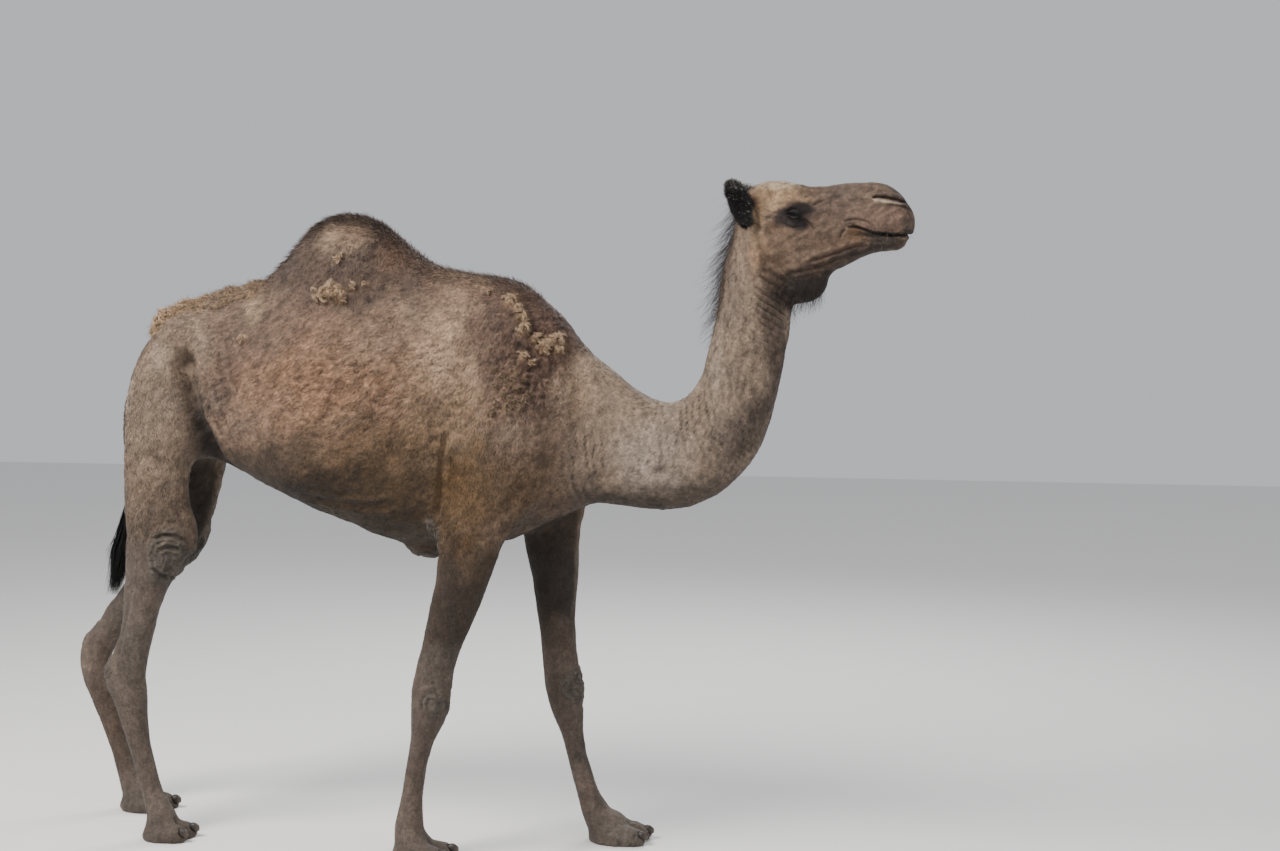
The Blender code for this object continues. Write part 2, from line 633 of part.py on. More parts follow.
def finish(obj, colour, roughness=0.6):
    """Smooth shading with crisp cut edges, and the sub-part's own material."""
    mesh = obj.data
    mesh.polygons.foreach_set("use_smooth", np.ones(len(mesh.polygons), bool))
    mesh.set_sharp_from_angle(angle=math.radians(50))
    material = bpy.data.materials.new(obj.name)
    material.use_nodes = True
    shader = material.node_tree.nodes["Principled BSDF"]
    shader.inputs["Base Color"].default_value = (*colour, 1.0)
    shader.inputs["Roughness"].default_value = roughness
    mesh.materials.clear()
    mesh.materials.append(material)


LEG_CUTS = {
    "fore_right": [(0.095, 0.950), (-0.040, 0.425), (-0.090, 0.098)],
    "fore_left": [(0.275, 0.950), (0.315, 0.425), (0.410, 0.098)],
    "hind_right": [(-0.975, 1.050), (-1.080, 0.430), (-0.985, 0.098)],
    "hind_left": [(-1.050, 1.050), (-1.385, 0.430), (-1.275, 0.098)],
}
SEEDS = {
    "trunk": (-0.35, 0.0, 1.42),
    "hump": (-0.32, 0.0, 1.96),
    "chest_pad": (-0.10, 0.0, 0.945),
    "neck_lower": (0.68, 0.0, 1.30),
    "neck_upper": (0.95, 0.0, 1.66),
    "head": (1.19, 0.0, 1.97),
    "lower_jaw": (1.29, 0.0, 1.89),
    "fore_right_upper": (0.06, -0.175, 0.69),
    "fore_right_lower": (-0.06, -0.185, 0.26),
    "fore_right_foot": (-0.05, -0.19, 0.05),
    "fore_left_upper": (0.28, 0.175, 0.69),
    "fore_left_lower": (0.35, 0.185, 0.26),
    "fore_left_foot": (0.48, 0.19, 0.05),
    "hind_right_upper": (-1.02, -0.165, 0.74),
    "hind_right_lower": (-1.04, -0.165, 0.26),
    "hind_right_foot": (-0.94, -0.165, 0.05),
    "hind_left_upper": (-1.22, 0.165, 0.74),
    "hind_left_lower": (-1.34, 0.165, 0.26),
    "hind_left_foot": (-1.21, 0.165, 0.05),
}
HIDE = (0.16, 0.115, 0.08)
HORN = (0.06, 0.052, 0.045)
DARK = (0.03, 0.025, 0.022)


def main():
    for obj in list(bpy.data.objects):
        bpy.data.objects.remove(obj)
    nodes = name_pieces(make_cuts(make_body()), SEEDS)
    for side, word in ((-1, "right"), (1, "left")):
        centre = (EYE_CENTRE[0], side * EYE_CENTRE[1], EYE_CENTRE[2])
        cut(nodes["head"], ellipsoid("socket", centre, (EYE_RADIUS + 2 * GAP,) * 3, segments=14))
        nodes[f"eye_{word}"] = ellipsoid(f"eye_{word}", centre, (EYE_RADIUS,) * 3, segments=14)
        ear = make_ear(f"ear_{word}", side)
        cut(nodes["head"], swollen(ear, 2.5 * GAP))
        nodes[f"ear_{word}"] = ear
    tail = bent_loft("tail", TAIL, 20, points=10)
    cut(nodes["trunk"], swollen(tail, 3 * GAP))
    cut(tail, slab((-1.165, 0.0, 1.035), (0.2, 0.2)))
    nodes |= name_pieces(islands(tail), {"tail": (-1.14, 0.0, 1.35), "tail_tuft": (-1.20, 0.0, 0.90)})
    for foot in FEET:
        for turn, word in ((-1, "a"), (1, "b")):
            claw = nail(f"nail_{foot}_{word}", foot, turn)
            cut(nodes[f"{foot}_foot"], swollen(claw, 2 * GAP))
            nodes[claw.name] = claw
    for name, obj in nodes.items():
        if name.startswith("eye"):
            finish(obj, DARK, 0.15)
        elif name.startswith("nail"):
            finish(obj, HORN, 0.5)
        else:
            finish(obj, HIDE)


main()
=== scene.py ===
"""A standing dromedary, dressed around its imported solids.

One skin replaces all the nodes of flesh. It is made by joining them, remeshing them finer towards the
head, smoothing away the facets and then shaping lids, nostrils, lips, folds, ribs and callosities.
Tufts of solid mesh lie over it along the lie of the coat, longer where the moulting wool hangs on.
"""

import math

import bmesh
import bpy
import numpy as np
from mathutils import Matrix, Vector


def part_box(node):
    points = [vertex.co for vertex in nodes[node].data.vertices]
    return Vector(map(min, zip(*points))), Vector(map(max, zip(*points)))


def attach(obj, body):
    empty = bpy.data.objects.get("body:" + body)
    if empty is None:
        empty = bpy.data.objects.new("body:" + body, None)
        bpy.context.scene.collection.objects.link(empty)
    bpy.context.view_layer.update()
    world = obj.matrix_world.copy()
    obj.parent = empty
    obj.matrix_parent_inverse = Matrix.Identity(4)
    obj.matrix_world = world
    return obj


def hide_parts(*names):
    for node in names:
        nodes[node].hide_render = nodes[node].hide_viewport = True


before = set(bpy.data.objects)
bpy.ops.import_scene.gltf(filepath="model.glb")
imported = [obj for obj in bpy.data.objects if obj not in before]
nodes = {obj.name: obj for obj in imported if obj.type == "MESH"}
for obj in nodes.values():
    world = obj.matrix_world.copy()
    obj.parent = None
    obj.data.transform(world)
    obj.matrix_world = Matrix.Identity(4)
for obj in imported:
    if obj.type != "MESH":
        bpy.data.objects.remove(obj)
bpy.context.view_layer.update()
rng = np.random.default_rng(41)

# ---- sizes, in metres ----
VOXEL, NAIL_VOXEL = 0.0088, 0.0018
SWELL = 0.001
HEAD_CENTRE = (1.19, 0.0, 1.98)
HEAD_NEAR, HEAD_FAR, HEAD_ZOOM = 0.25, 0.5, 2.2
EYE_RADIUS = 0.0205
EYE_CENTRE = np.array([1.105, 0.0745, 2.006])
SKIN_FREE = ("eye", "nail", "tail_tuft")
LIMBS = ("fore_right", "fore_left", "hind_right", "hind_left")
SOFTEN_PASSES, REGAIN_PASSES = 36, 30
PATCH = 0.0015  # half the width of a tuft's place on the unwrap


# ---------------------------------------------------------------- fields
def smoothstep(low, high, x):
    t = np.clip((x - low) / (high - low), 0, 1)
    return t * t * (3 - 2 * t)


def lattice(ix, iy, iz, seed):
    """A repeatable number from 0 to 1 for each whole-numbered point."""
    h = (ix * 374761393 + iy * 668265263 + iz * 974634777 + seed * 1274126177) & 0xFFFFFFFF
    h = ((h ^ (h >> 13)) * 1274126177) & 0xFFFFFFFF
    return ((h ^ (h >> 16)) & 0xFFFFFF) / float(0x1000000)


def noise(points, size, seed):
    """Smooth noise from -1 to 1, whose features are about size metres across."""
    q = points / size
    cell = np.floor(q).astype(np.int64)
    f = q - cell
    f = f * f * (3 - 2 * f)
    total = np.zeros(len(points))
    for dx in (0, 1):
        for dy in (0, 1):
            for dz in (0, 1):
                share = (
                    (f[:, 0] if dx else 1 - f[:, 0])
                    * (f[:, 1] if dy else 1 - f[:, 1])
                    * (f[:, 2] if dz else 1 - f[:, 2])
                )
                total += share * lattice(cell[:, 0] + dx, cell[:, 1] + dy, cell[:, 2] + dz, seed)
    return 2 * total - 1


def fractal(points, size, octaves, seed):
    """Noise with finer and weaker noise on top of it."""
    total = np.zeros(len(points))
    for octave in range(octaves):
        total += noise(points, size * 0.5**octave, seed + octave) * 0.55**octave
    return total


def unit(vectors):
    return vectors / np.maximum(np.linalg.norm(vectors, axis=1, keepdims=True), 1e-12)


def line_distance(points, line):
    """The distance of each point from a line of two or more points, and how far along that is, 0 to 1."""
    line = np.asarray(line, float)
    best = np.full(len(points), 1e9)
    where = np.zeros(len(points))
    lengths = np.linalg.norm(np.diff(line, axis=0), axis=1)
    before = np.concatenate([[0], np.cumsum(lengths)])
    for i, length in enumerate(lengths):
        along = (line[i + 1] - line[i]) / length
        t = np.clip((points - line[i]) @ along, 0, length)
        d = np.linalg.norm(points - line[i] - t[:, None] * along, axis=1)
        nearer = d < best
        best[nearer] = d[nearer]
        where[nearer] = (before[i] + t[nearer]) / before[-1]
    return best, where


def magnify(points, back=False):
    """Spreads points away from the middle of the head, which makes it larger, or puts them back."""
    radius = np.linspace(0, 8, 8001)
    slope = 1 + (HEAD_ZOOM - 1) * (1 - smoothstep(HEAD_NEAR, HEAD_FAR, radius))
    grown = np.concatenate([[0], np.cumsum((slope[1:] + slope[:-1]) / 2 * np.diff(radius))])
    offset = points - np.asarray(HEAD_CENTRE)
    r = np.maximum(np.linalg.norm(offset, axis=1), 1e-9)
    new = np.interp(r, grown, radius) if back else np.interp(r, radius, grown)
    return np.asarray(HEAD_CENTRE) + offset * (new / r)[:, None]


# ---------------------------------------------------------------- meshes
def new_object(name, points, faces):
    """A mesh object from an array of points and a list of index arrays, one for each size of face."""
    mesh = bpy.data.meshes.new(name)
    counts = np.concatenate([np.full(len(f), f.shape[1]) for f in faces])
    corners = np.concatenate([f.ravel() for f in faces]).astype(np.int32)
    mesh.vertices.add(len(points))
    mesh.vertices.foreach_set("co", points.astype(np.float32).ravel())
    mesh.loops.add(len(corners))
    mesh.loops.foreach_set("vertex_index", corners)
    mesh.polygons.add(len(counts))
    mesh.polygons.foreach_set("loop_start", (np.cumsum(counts) - counts).astype(np.int32))
    mesh.polygons.foreach_set("use_smooth", np.ones(len(counts), bool))
    mesh.update(calc_edges=True)
    obj = bpy.data.objects.new(name, mesh)
    bpy.context.scene.collection.objects.link(obj)
    return obj


def read(items, name, width=1, kind=np.int32):
    """One property of all the items of a mesh, in rows of so many numbers."""
    found = np.empty(len(items) * width, kind)
    items.foreach_get(name, found)
    return found.reshape(-1, width) if width > 1 else found


def points_of(mesh):
    return read(mesh.vertices, "co", 3, np.float32).astype(float)


def set_points(mesh, points):
    mesh.vertices.foreach_set("co", points.astype(np.float32).ravel())
    mesh.update()


def triangles_of(mesh):
    mesh.calc_loop_triangles()
    return read(mesh.loop_triangles, "vertices", 3)


def edges_of(mesh):
    return read(mesh.edges, "vertices", 2)


def vertex_sums(index, values, count):
    return np.stack([np.bincount(index, values[:, k], count) for k in range(3)], axis=1)


def normals_of(points, triangles):
    a, b, c = (points[triangles[:, k]] for k in range(3))
    face = np.cross(b - a, c - a)
    total = sum(vertex_sums(triangles[:, k], face, len(points)) for k in range(3))
    return unit(total)


def relax(values, edges, weight, passes):
    """Moves each vertex's value towards the mean of its neighbours', by its weight, again and again."""
    count = len(values)
    ends, others = np.concatenate([edges, edges[:, ::-1]]).T
    degree = np.maximum(np.bincount(ends, minlength=count), 1)[:, None]
    flat = values.reshape(count, -1)
    for _ in range(passes):
        mean = np.stack([np.bincount(ends, flat[others, k], count) for k in range(flat.shape[1])], 1)
        flat = flat + weight[:, None] * (mean / degree - flat)
    return flat.reshape(values.shape)


def add_colours(mesh, colours):
    layer = mesh.color_attributes.new("Markings", "FLOAT_COLOR", "POINT")
    rgba = np.ones((len(colours), 4), np.float32)
    rgba[:, :3] = colours
    layer.data.foreach_set("color", rgba.ravel())


def add_uvs(mesh, per_corner):
    layer = mesh.uv_layers.new(name="OFBake")
    layer.data.foreach_set("uv", per_corner.astype(np.float32).ravel())


def corners_of(mesh):
    return read(mesh.loops, "vertex_index")


def place(obj, slot_name, material, *replaced):
    """The piece rides on the one body and stands for the nodes it replaces; the slot name it is given is not
    used.
    """
    obj.data.materials.append(material)
    if replaced:
        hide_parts(*replaced)
    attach(obj, "root")
    return obj


# ---------------------------------------------------------------- the skin's shape
def joined(names):
    """The named solids as one set of points and triangles, swollen so that the thin cuts close."""
    all_points, all_faces, count = [], [], 0
    for name in names:
        mesh = nodes[name].data
        points, faces = points_of(mesh), triangles_of(mesh)
        _, first, back = np.unique(
            np.round(points * 1e5).astype(np.int64), axis=0, return_index=True, return_inverse=True
        )
        points, faces = points[first], back.reshape(-1)[faces]
        points = points + normals_of(points, faces) * SWELL
        all_points.append(points)
        all_faces.append(faces + count)
        count += len(points)
    return np.concatenate(all_points), np.concatenate(all_faces)


def largest_shell(points, mesh):
    """Which vertices belong to the largest connected shell."""
    edges = edges_of(mesh)
    label = np.arange(len(points))
    while True:
        low = np.minimum(label[edges[:, 0]], label[edges[:, 1]])
        new = label.copy()
        np.minimum.at(new, edges[:, 0], low)
        np.minimum.at(new, edges[:, 1], low)
        new = new[new]
        if (new == label).all():
            break
        label = new
    return label == np.bincount(label).argmax()


def remeshed(points, faces, size):
    """A closed surface as one even mesh of quads."""
    rough = new_object("rough", points, [faces])
    remesh = rough.modifiers.new("remesh", "REMESH")
    remesh.mode = "VOXEL"
    remesh.voxel_size = size
    graph = bpy.context.evaluated_depsgraph_get()
    made = bpy.data.meshes.new_from_object(rough.evaluated_get(graph))
    bpy.data.objects.remove(rough)
    return made


def make_skin_mesh(names):
    """One skin over the named solids, with finer quads towards the head."""
    points, faces = joined(names)
    made = remeshed(magnify(points), faces, VOXEL)
    points = magnify(points_of(made), back=True)
    keep = largest_shell(points, made)
    quads = corners_of(made).reshape(-1, 4)
    quads = quads[keep[quads].all(axis=1)]
    used, back = np.unique(quads, return_inverse=True)
    obj = new_object("skin", points[used], [back.reshape(-1, 4)])
    bpy.data.meshes.remove(made)
    return obj


def regions(p):
    """Soft shares, 0 to 1, of the body's regions at each point."""
    x, y, z = p.T
    ay = np.abs(y)
    head = smoothstep(0.93, 1.02, x + 0.35 * (z - 1.9)) * smoothstep(1.7, 1.8, z)
    ear_line = [(0.968, 0.078, 1.985), (0.942, 0.093, 2.045), (0.914, 0.104, 2.11)]
    d, _ = line_distance(np.stack([x, ay, z], 1), ear_line)
    ear = smoothstep(0.045, 0.03, d) * smoothstep(0.05, 0.062, ay)
    legs = smoothstep(1.02, 0.9, z)
    neck = smoothstep(0.36, 0.52, x) * (1 - head)
    feet = smoothstep(0.16, 0.08, z)
    tail = smoothstep(0.06, 0.04, ay) * smoothstep(-1.05, -1.1, x - 0.15 * (1.5 - z))
    tail = tail * smoothstep(0.9, 1.1, z)
    black_line = [(0.958, 0.08, 1.995), (0.938, 0.093, 2.045), (0.914, 0.104, 2.11)]
    d, t = line_distance(np.stack([x, ay, z], 1), black_line)
    wide = np.interp(t, (0, 0.4, 1), (0.03, 0.051, 0.056))
    black = smoothstep(1.06, 0.88, d / wide) * smoothstep(0.05, 0.062, ay)
    return dict(head=head * (1 - ear), ear=ear, black=black, legs=legs, neck=neck, feet=feet, tail=tail)


def smooth_facets(mesh):
    """Rounds the solids' facets away and gives back the larger forms this takes."""
    points, edges = points_of(mesh), edges_of(mesh)
    share = regions(points)
    weight = 1 - 0.8 * share["legs"]
    weight = weight * (1 - 0.55 * share["neck"]) * (1 - 0.55 * share["head"])
    weight = weight * (1 - 0.93 * share["ear"]) * (1 - 0.5 * share["feet"])
    soft = relax(points, edges, weight, SOFTEN_PASSES)
    lost = relax(points - soft, edges, weight, REGAIN_PASSES)
    set_points(mesh, soft + lost)


def finer(mesh, chosen):
    """Splits every edge whose two ends are chosen, so that small folds have room."""
    work = bmesh.new()
    work.from_mesh(mesh)
    edges = [e for e in work.edges if all(chosen[v.index] for v in e.verts)]
    bmesh.ops.subdivide_edges(work, edges=edges, cuts=1, use_grid_fill=True)
    work.to_mesh(mesh)
    work.free()
    mesh.polygons.foreach_set("use_smooth", np.ones(len(mesh.polygons), bool))


def both_sides(points):
    """The points with their sideways distance made positive, so one table serves left and right."""
    return np.stack([points[:, 0], np.abs(points[:, 1]), points[:, 2]], axis=1)


def refine(mesh):
    """Finer faces at the eyes, nostrils, lips and hardened pads."""
    p = both_sides(points_of(mesh))
    eye = np.linalg.norm(p - EYE_CENTRE, axis=1)
    nostril, _ = line_distance(p[:, [0, 2]], NOSTRIL)
    mouth, _ = line_distance(p[:, [0, 2]], MOUTH)
    on_muzzle = p[:, 0] > 1.22
    on_pad = pad_share(points_of(mesh)) > 0.02
    finer(mesh, (eye < 0.055) | (on_muzzle & ((nostril < 0.022) | (mouth < 0.022))) | on_pad)
    p = both_sides(points_of(mesh))
    eye = np.linalg.norm((p - EYE_CENTRE) * (1, 1, 1.2), axis=1)
    on_pad = pad_share(points_of(mesh)) > 0.25
    finer(mesh, (eye < 0.032) | (on_pad & (p[:, 1] > 0.1)))


NOSTRIL = [(1.335, 2.058), (1.348, 2.062), (1.376, 2.06), (1.408, 2.054), (1.438, 2.0435)]
NOSTRIL_RIM = [(1.338, 2.054), (1.355, 2.049), (1.381, 2.045), (1.409, 2.0415), (1.436, 2.037)]
NOSTRIL_UNDER = [(1.35, 2.043), (1.374, 2.038), (1.402, 2.035), (1.428, 2.031), (1.449, 2.024)]
MOUTH = [(1.262, 1.972), (1.28, 1.973), (1.304, 1.967), (1.34, 1.953), (1.393, 1.946), (1.475, 1.946)]
STIFLE_CREASES = [
    [(-0.962, 0.985), (-0.93, 1.003), (-0.888, 1.004), (-0.856, 0.982)],
    [(-0.94, 0.955), (-0.91, 0.968), (-0.874, 0.955)],
    [(-0.968, 0.9), (-0.935, 0.872), (-0.895, 0.858)],
]

# lines in side view: points (x, z), half width, depth, raised edge, from which |y| on
GROOVES = [
    (NOSTRIL, 0.0042, 0.01, 0.002, 0.012),
    (NOSTRIL_UNDER, 0.0034, 0.0034, 0.0008, 0.01),
    (MOUTH, 0.0038, 0.0105, 0.0022, 0.0),
    (
        [(1.252, 1.988), (1.27, 1.994), (1.294, 1.995), (1.318, 1.988), (1.336, 1.978)],
        0.0034, 0.0036, 0.0018, 0.02,
    ),
    ([(1.258, 1.966), (1.247, 1.955), (1.24, 1.94)], 0.004, 0.004, 0.002, 0.02),
    (
        [(1.322, 1.917), (1.29, 1.915), (1.259, 1.906), (1.184, 1.88), (1.145, 1.868)],
        0.006, 0.006, 0.0035, 0.02,
    ),
    ([(1.245, 1.885), (1.184, 1.858), (1.123, 1.842), (1.08, 1.834)], 0.006, 0.005, 0.003, 0.02),
    ([(1.06, 1.998), (1.044, 1.999), (1.02, 2.003), (1.001, 2.011)], 0.003, 0.0028, 0.001, 0.04),
    ([(1.06, 2.012), (1.04, 2.018), (1.02, 2.026)], 0.0026, 0.0018, 0.0008, 0.04),
    ([(1.014, 2.1), (1.026, 2.084), (1.036, 2.066), (1.03, 2.048)], 0.003, 0.0022, 0.0014, 0.03),
    ([(0.996, 2.09), (1.004, 2.07), (1.016, 2.056)], 0.003, 0.0022, 0.0014, 0.03),
    ([(1.131, 1.998), (1.146, 1.99), (1.158, 1.98), (1.166, 1.968)], 0.0032, 0.003, 0.001, 0.03),
    ([(1.16, 2.038), (1.176, 2.046), (1.19, 2.054)], 0.004, 0.0026, 0.0016, 0.03),
    ([(1.3, 1.935), (1.33, 1.93), (1.37, 1.928)], 0.0035, 0.0018, 0.001, 0.01),
    ([(1.0, 1.985), (0.995, 1.95), (0.998, 1.915), (1.008, 1.88), (1.03, 1.85)], 0.012, 0.007, 0.003, 0.03),
    ([(1.01, 1.85), (1.04, 1.832), (1.075, 1.812)], 0.007, 0.005, 0.0025, 0.02),
    ([(0.995, 1.83), (1.03, 1.806), (1.07, 1.79)], 0.006, 0.0036, 0.002, 0.02),
    ([(0.98, 1.8), (1.02, 1.775), (1.065, 1.762)], 0.007, 0.003, 0.0016, 0.02),
    ([(-0.76, 1.655), (-0.735, 1.61), (-0.712, 1.56), (-0.69, 1.5), (-0.668, 1.44)], 0.02, 0.01, 0.004, 0.08),
    ([(-0.872, 1.62), (-0.846, 1.5), (-0.818, 1.4), (-0.79, 1.32), (-0.765, 1.2)], 0.027, 0.045, 0.006, 0.1),
    ([(0.06, 1.37), (0.046, 1.26), (0.034, 1.16), (0.012, 1.07)], 0.009, 0.01, 0.003, 0.08),
    ([(-0.45, 1.138), (-0.33, 1.12), (-0.2, 1.113), (-0.09, 1.128)], 0.01, 0.006, 0.004, 0.06),
    ([(0.15, 1.75), (0.128, 1.65), (0.112, 1.54), (0.118, 1.43)], 0.03, 0.006, 0.003, 0.08),
    ([(0.395, 1.64), (0.43, 1.54), (0.448, 1.43), (0.45, 1.32), (0.44, 1.21)], 0.026, 0.009, 0.004, 0.05),
    ([(0.33, 1.21), (0.25, 1.13), (0.19, 1.06)], 0.02, 0.006, 0.002, 0.1),
    ([(-1.045, 0.86), (-1.07, 0.76), (-1.098, 0.66), (-1.116, 0.58)], 0.012, 0.0095, 0.003, 0.05),
    *[(line, 0.0056, 0.0058, 0.0034, 0.1) for line in STIFLE_CREASES],
    ([(-1.32, 0.84), (-1.36, 0.75), (-1.392, 0.65)], 0.012, 0.0095, 0.003, 0.05),
]

# soft swellings and hollows: centre x, |y|, z; radii; height
FORMS = [
    ((1.18, 0.07, 1.925), (0.075, 0.05, 0.04), 0.005),
    ((1.12, 0.06, 1.965), (0.06, 0.04, 0.02), 0.003),
    ((1.215, 0.055, 2.02), (0.05, 0.04, 0.014), 0.004),
    ((1.28, 0.045, 2.045), (0.04, 0.03, 0.018), -0.0035),
    ((1.165, 0.06, 2.062), (0.035, 0.03, 0.012), 0.003),
    ((1.03, 0.07, 2.05), (0.035, 0.03, 0.03), -0.0035),
    ((1.395, 0.045, 1.985), (0.04, 0.03, 0.022), 0.005),
    ((1.37, 0.04, 2.066), (0.045, 0.02, 0.01), 0.004),
    ((1.33, 0.035, 1.925), (0.04, 0.02, 0.014), 0.003),
    ((1.27, 0.04, 1.948), (0.03, 0.02, 0.014), 0.003),
    ((1.105, 0.0, 1.795), (0.06, 0.05, 0.03), 0.006),
    ((0.25, 0.2, 1.56), (0.09, 0.08, 0.16), 0.012),
    ((0.4, 0.15, 1.46), (0.06, 0.08, 0.08), 0.012),
    ((0.08, 0.2, 1.23), (0.08, 0.08, 0.12), 0.008),
    ((-0.9, 0.15, 1.68), (0.06, 0.08, 0.05), 0.014),
    ((-0.98, 0.19, 1.3), (0.08, 0.06, 0.18), 0.01),
    ((-0.72, 0.21, 1.68), (0.06, 0.08, 0.06), -0.012),
    ((-0.56, 0.25, 1.66), (0.12, 0.08, 0.04), -0.006),
    ((-0.03, 0.17, 0.52), (0.03, 0.05, 0.06), 0.004),
    ((0.12, 0.17, 0.76), (0.04, 0.06, 0.1), 0.004),
    ((-1.168, 0.155, 0.56), (0.035, 0.05, 0.09), 0.017),
]

# hardened pads, wrinkled and bare: centre x, y, z; radii; height
PADS = [
    ((-0.912, -0.215, 0.93), (0.07, 0.06, 0.098), 0.009),
    ((-1.015, 0.215, 0.93), (0.07, 0.06, 0.098), 0.009),
    ((-0.01, -0.175, 0.508), (0.05, 0.075, 0.058), 0.006),
    ((0.345, 0.175, 0.508), (0.05, 0.075, 0.058), 0.006),
    ((-0.006, -0.2, 1.035), (0.03, 0.05, 0.06), 0.008),
    ((0.22, 0.2, 1.035), (0.03, 0.05, 0.06), 0.008),
    ((-0.092, 0.0, 0.945), (0.1, 0.08, 0.04), 0.005),
    ((-1.15, -0.16, 0.56), (0.03, 0.04, 0.04), 0.003),
    ((-1.455, 0.165, 0.61), (0.03, 0.04, 0.04), 0.003),
]

# matted wool that the moult has left: centre x, z, radius, height, how many locks
WOOL = [
    (0.215, 1.765, 0.02, 0.01, 7),
    (0.242, 1.738, 0.016, 0.008, 5),
    (0.258, 1.705, 0.018, 0.009, 6),
    (0.268, 1.668, 0.018, 0.01, 7),
    (0.305, 1.64, 0.016, 0.009, 6),
    (0.332, 1.622, 0.024, 0.013, 10),
    (0.368, 1.64, 0.02, 0.012, 8),
    (0.372, 1.61, 0.018, 0.01, 6),
    (0.28, 1.59, 0.014, 0.008, 5),
    (0.305, 1.565, 0.012, 0.006, 4),
    (0.14, 1.79, 0.012, 0.005, 3),
    (-0.395, 1.777, 0.02, 0.013, 8),
    (-0.35, 1.79, 0.026, 0.017, 12),
    (-0.33, 1.768, 0.018, 0.013, 7),
    (-0.292, 1.806, 0.014, 0.007, 5),
    (-0.255, 1.812, 0.01, 0.005, 3),
    (-0.352, 1.897, 0.016, 0.006, 4),
    (-0.667, 1.64, 0.015, 0.01, 5),
    (-0.984, 1.692, 0.018, 0.008, 6),
    (-0.95, 1.716, 0.022, 0.01, 8),
    (-0.912, 1.738, 0.02, 0.01, 7),
]
# the same with its side, -1 or 1: thinner and shifted on the left
MATS = [(x, -1, z, radius, up, locks) for x, z, radius, up, locks in WOOL]
MATS += [
    (x - 0.02 + 0.022 * math.sin(9 * k), 1, z - 0.02 + 0.016 * math.cos(7 * k), 0.8 * radius, 0.9 * up, locks)
    for k, (x, z, radius, up, locks) in enumerate(WOOL)
    if k % 3 != 1
]
# small dark curls low on the shoulder
MATS += [
    (0.195 + 0.11 * (k * 0.618 % 1), side, 1.545 - 0.01 * k, 0.011 + 0.004 * (k * 0.414 % 1), 0.005, 4)
    for k in range(14)
    for side in (-1, 1)
]
RUMP_MAT = [(-1.0, 1.692), (-0.955, 1.735), (-0.904, 1.762), (-0.85, 1.782), (-0.79, 1.795), (-0.715, 1.803)]


def bump_of(p, centre, radii):
    """1 at a centre, falling softly to 0 at about twice its radii."""
    return np.exp(-((((p - np.asarray(centre)) / np.asarray(radii)) ** 2).sum(axis=1)))


def reach_of(p, centre, radii):
    """The distance from a centre, as a share of the radii."""
    return np.sqrt((((p - centre) / radii) ** 2).sum(axis=1))


def folds(p):
    """How far the skin moves out along its normal for grooves, swellings and folds."""
    sides = both_sides(p)
    flat = sides[:, [0, 2]]
    height = np.zeros(len(p))
    wander = 0.25 * noise(p, 0.03, 5)
    for line, width, depth, lip, from_y in GROOVES:
        line = np.asarray(line)
        low, high = line.min(0) - 5 * width, line.max(0) + 5 * width
        near = ((flat > low) & (flat < high)).all(axis=1) & (sides[:, 1] > from_y)
        d, t = line_distance(flat[near], line)
        d = d / width + wander[near] * np.minimum(1, width / 0.006)
        ends = smoothstep(0, 0.14, t) * smoothstep(1, 0.86, t)
        ends = ends * smoothstep(from_y, from_y + max(0.006, width), sides[near, 1] + (from_y == 0))
        height[near] += ends * (lip * np.exp(-((d - 2.1) ** 2) / 0.8) - depth * np.exp(-(d**2)))
    for centre, radii, up in FORMS:
        height += up * bump_of(sides, centre, radii)
    return height


def pad_share(p):
    """1 on a hardened pad, 0 off it."""
    share = np.zeros(len(p))
    for centre, radii, _ in PADS:
        rho = reach_of(p, centre, radii)
        share = np.maximum(share, smoothstep(1.15, 0.8, rho + 0.12 * noise(p, 0.02, 9)))
    return share


def pad_relief(p, rho):
    """The cracked, wrinkled face of a hardened pad, from -1 in a crack to 1 on a ridge."""
    rings = np.sin(rho * 9 + 6.0 * noise(p, 0.045, 3) + 1.5 * noise(p, 0.016, 2))
    cracks = np.exp(-((noise(p * (1, 1, 1.6), 0.024, 6) / 0.1) ** 2))
    return np.clip(0.7 * rings + 0.4 * noise(p, 0.009, 8) - 0.8 * cracks, -1.3, 1.0)


def pads(p):
    """The hardened pads stand proud and are cracked by wrinkles."""
    height = np.zeros(len(p))
    for centre, radii, up in PADS:
        rho = reach_of(p, centre, radii)
        near = rho < 1.5
        q = p[near]
        rim = up * smoothstep(1.2, 0.55, rho[near] + 0.16 * noise(q, 0.03, 9))
        wrinkled = smoothstep(1.25, 0.8, rho[near]) * 0.0026 * pad_relief(q, rho[near])
        height[near] += rim + wrinkled - 0.0022 * np.exp(-((rho[near] - 1.22) ** 2) / 0.01)
    return height


def rump_edge(p):
    """The distance from the middle line of the rump's mat, as ragged as its edge."""
    d, _ = line_distance(p[:, [0, 2]], RUMP_MAT)
    return d + 0.018 * noise(p, 0.04, 4) + 0.01 * noise(p, 0.014, 5)


def mats(p):
    """The relief below the wool that the moult has left."""
    height = np.zeros(len(p))
    for x, side, z, radius, up, _ in MATS:
        near = (np.sign(p[:, 1]) == side) & (np.abs(p[:, 1]) > 0.05)
        rho = np.hypot(p[:, 0] - x, p[:, 2] - z) / radius
        height += near * up * smoothstep(1.3, 0.5, rho + 0.35 * noise(p, 0.012, 4))
    on_top = smoothstep(0.14, 0.11, np.abs(p[:, 1] + 0.02)) * smoothstep(0.052, 0.036, rump_edge(p))
    return height + 0.015 * on_top * (0.8 + 0.5 * noise(p, 0.02, 8))


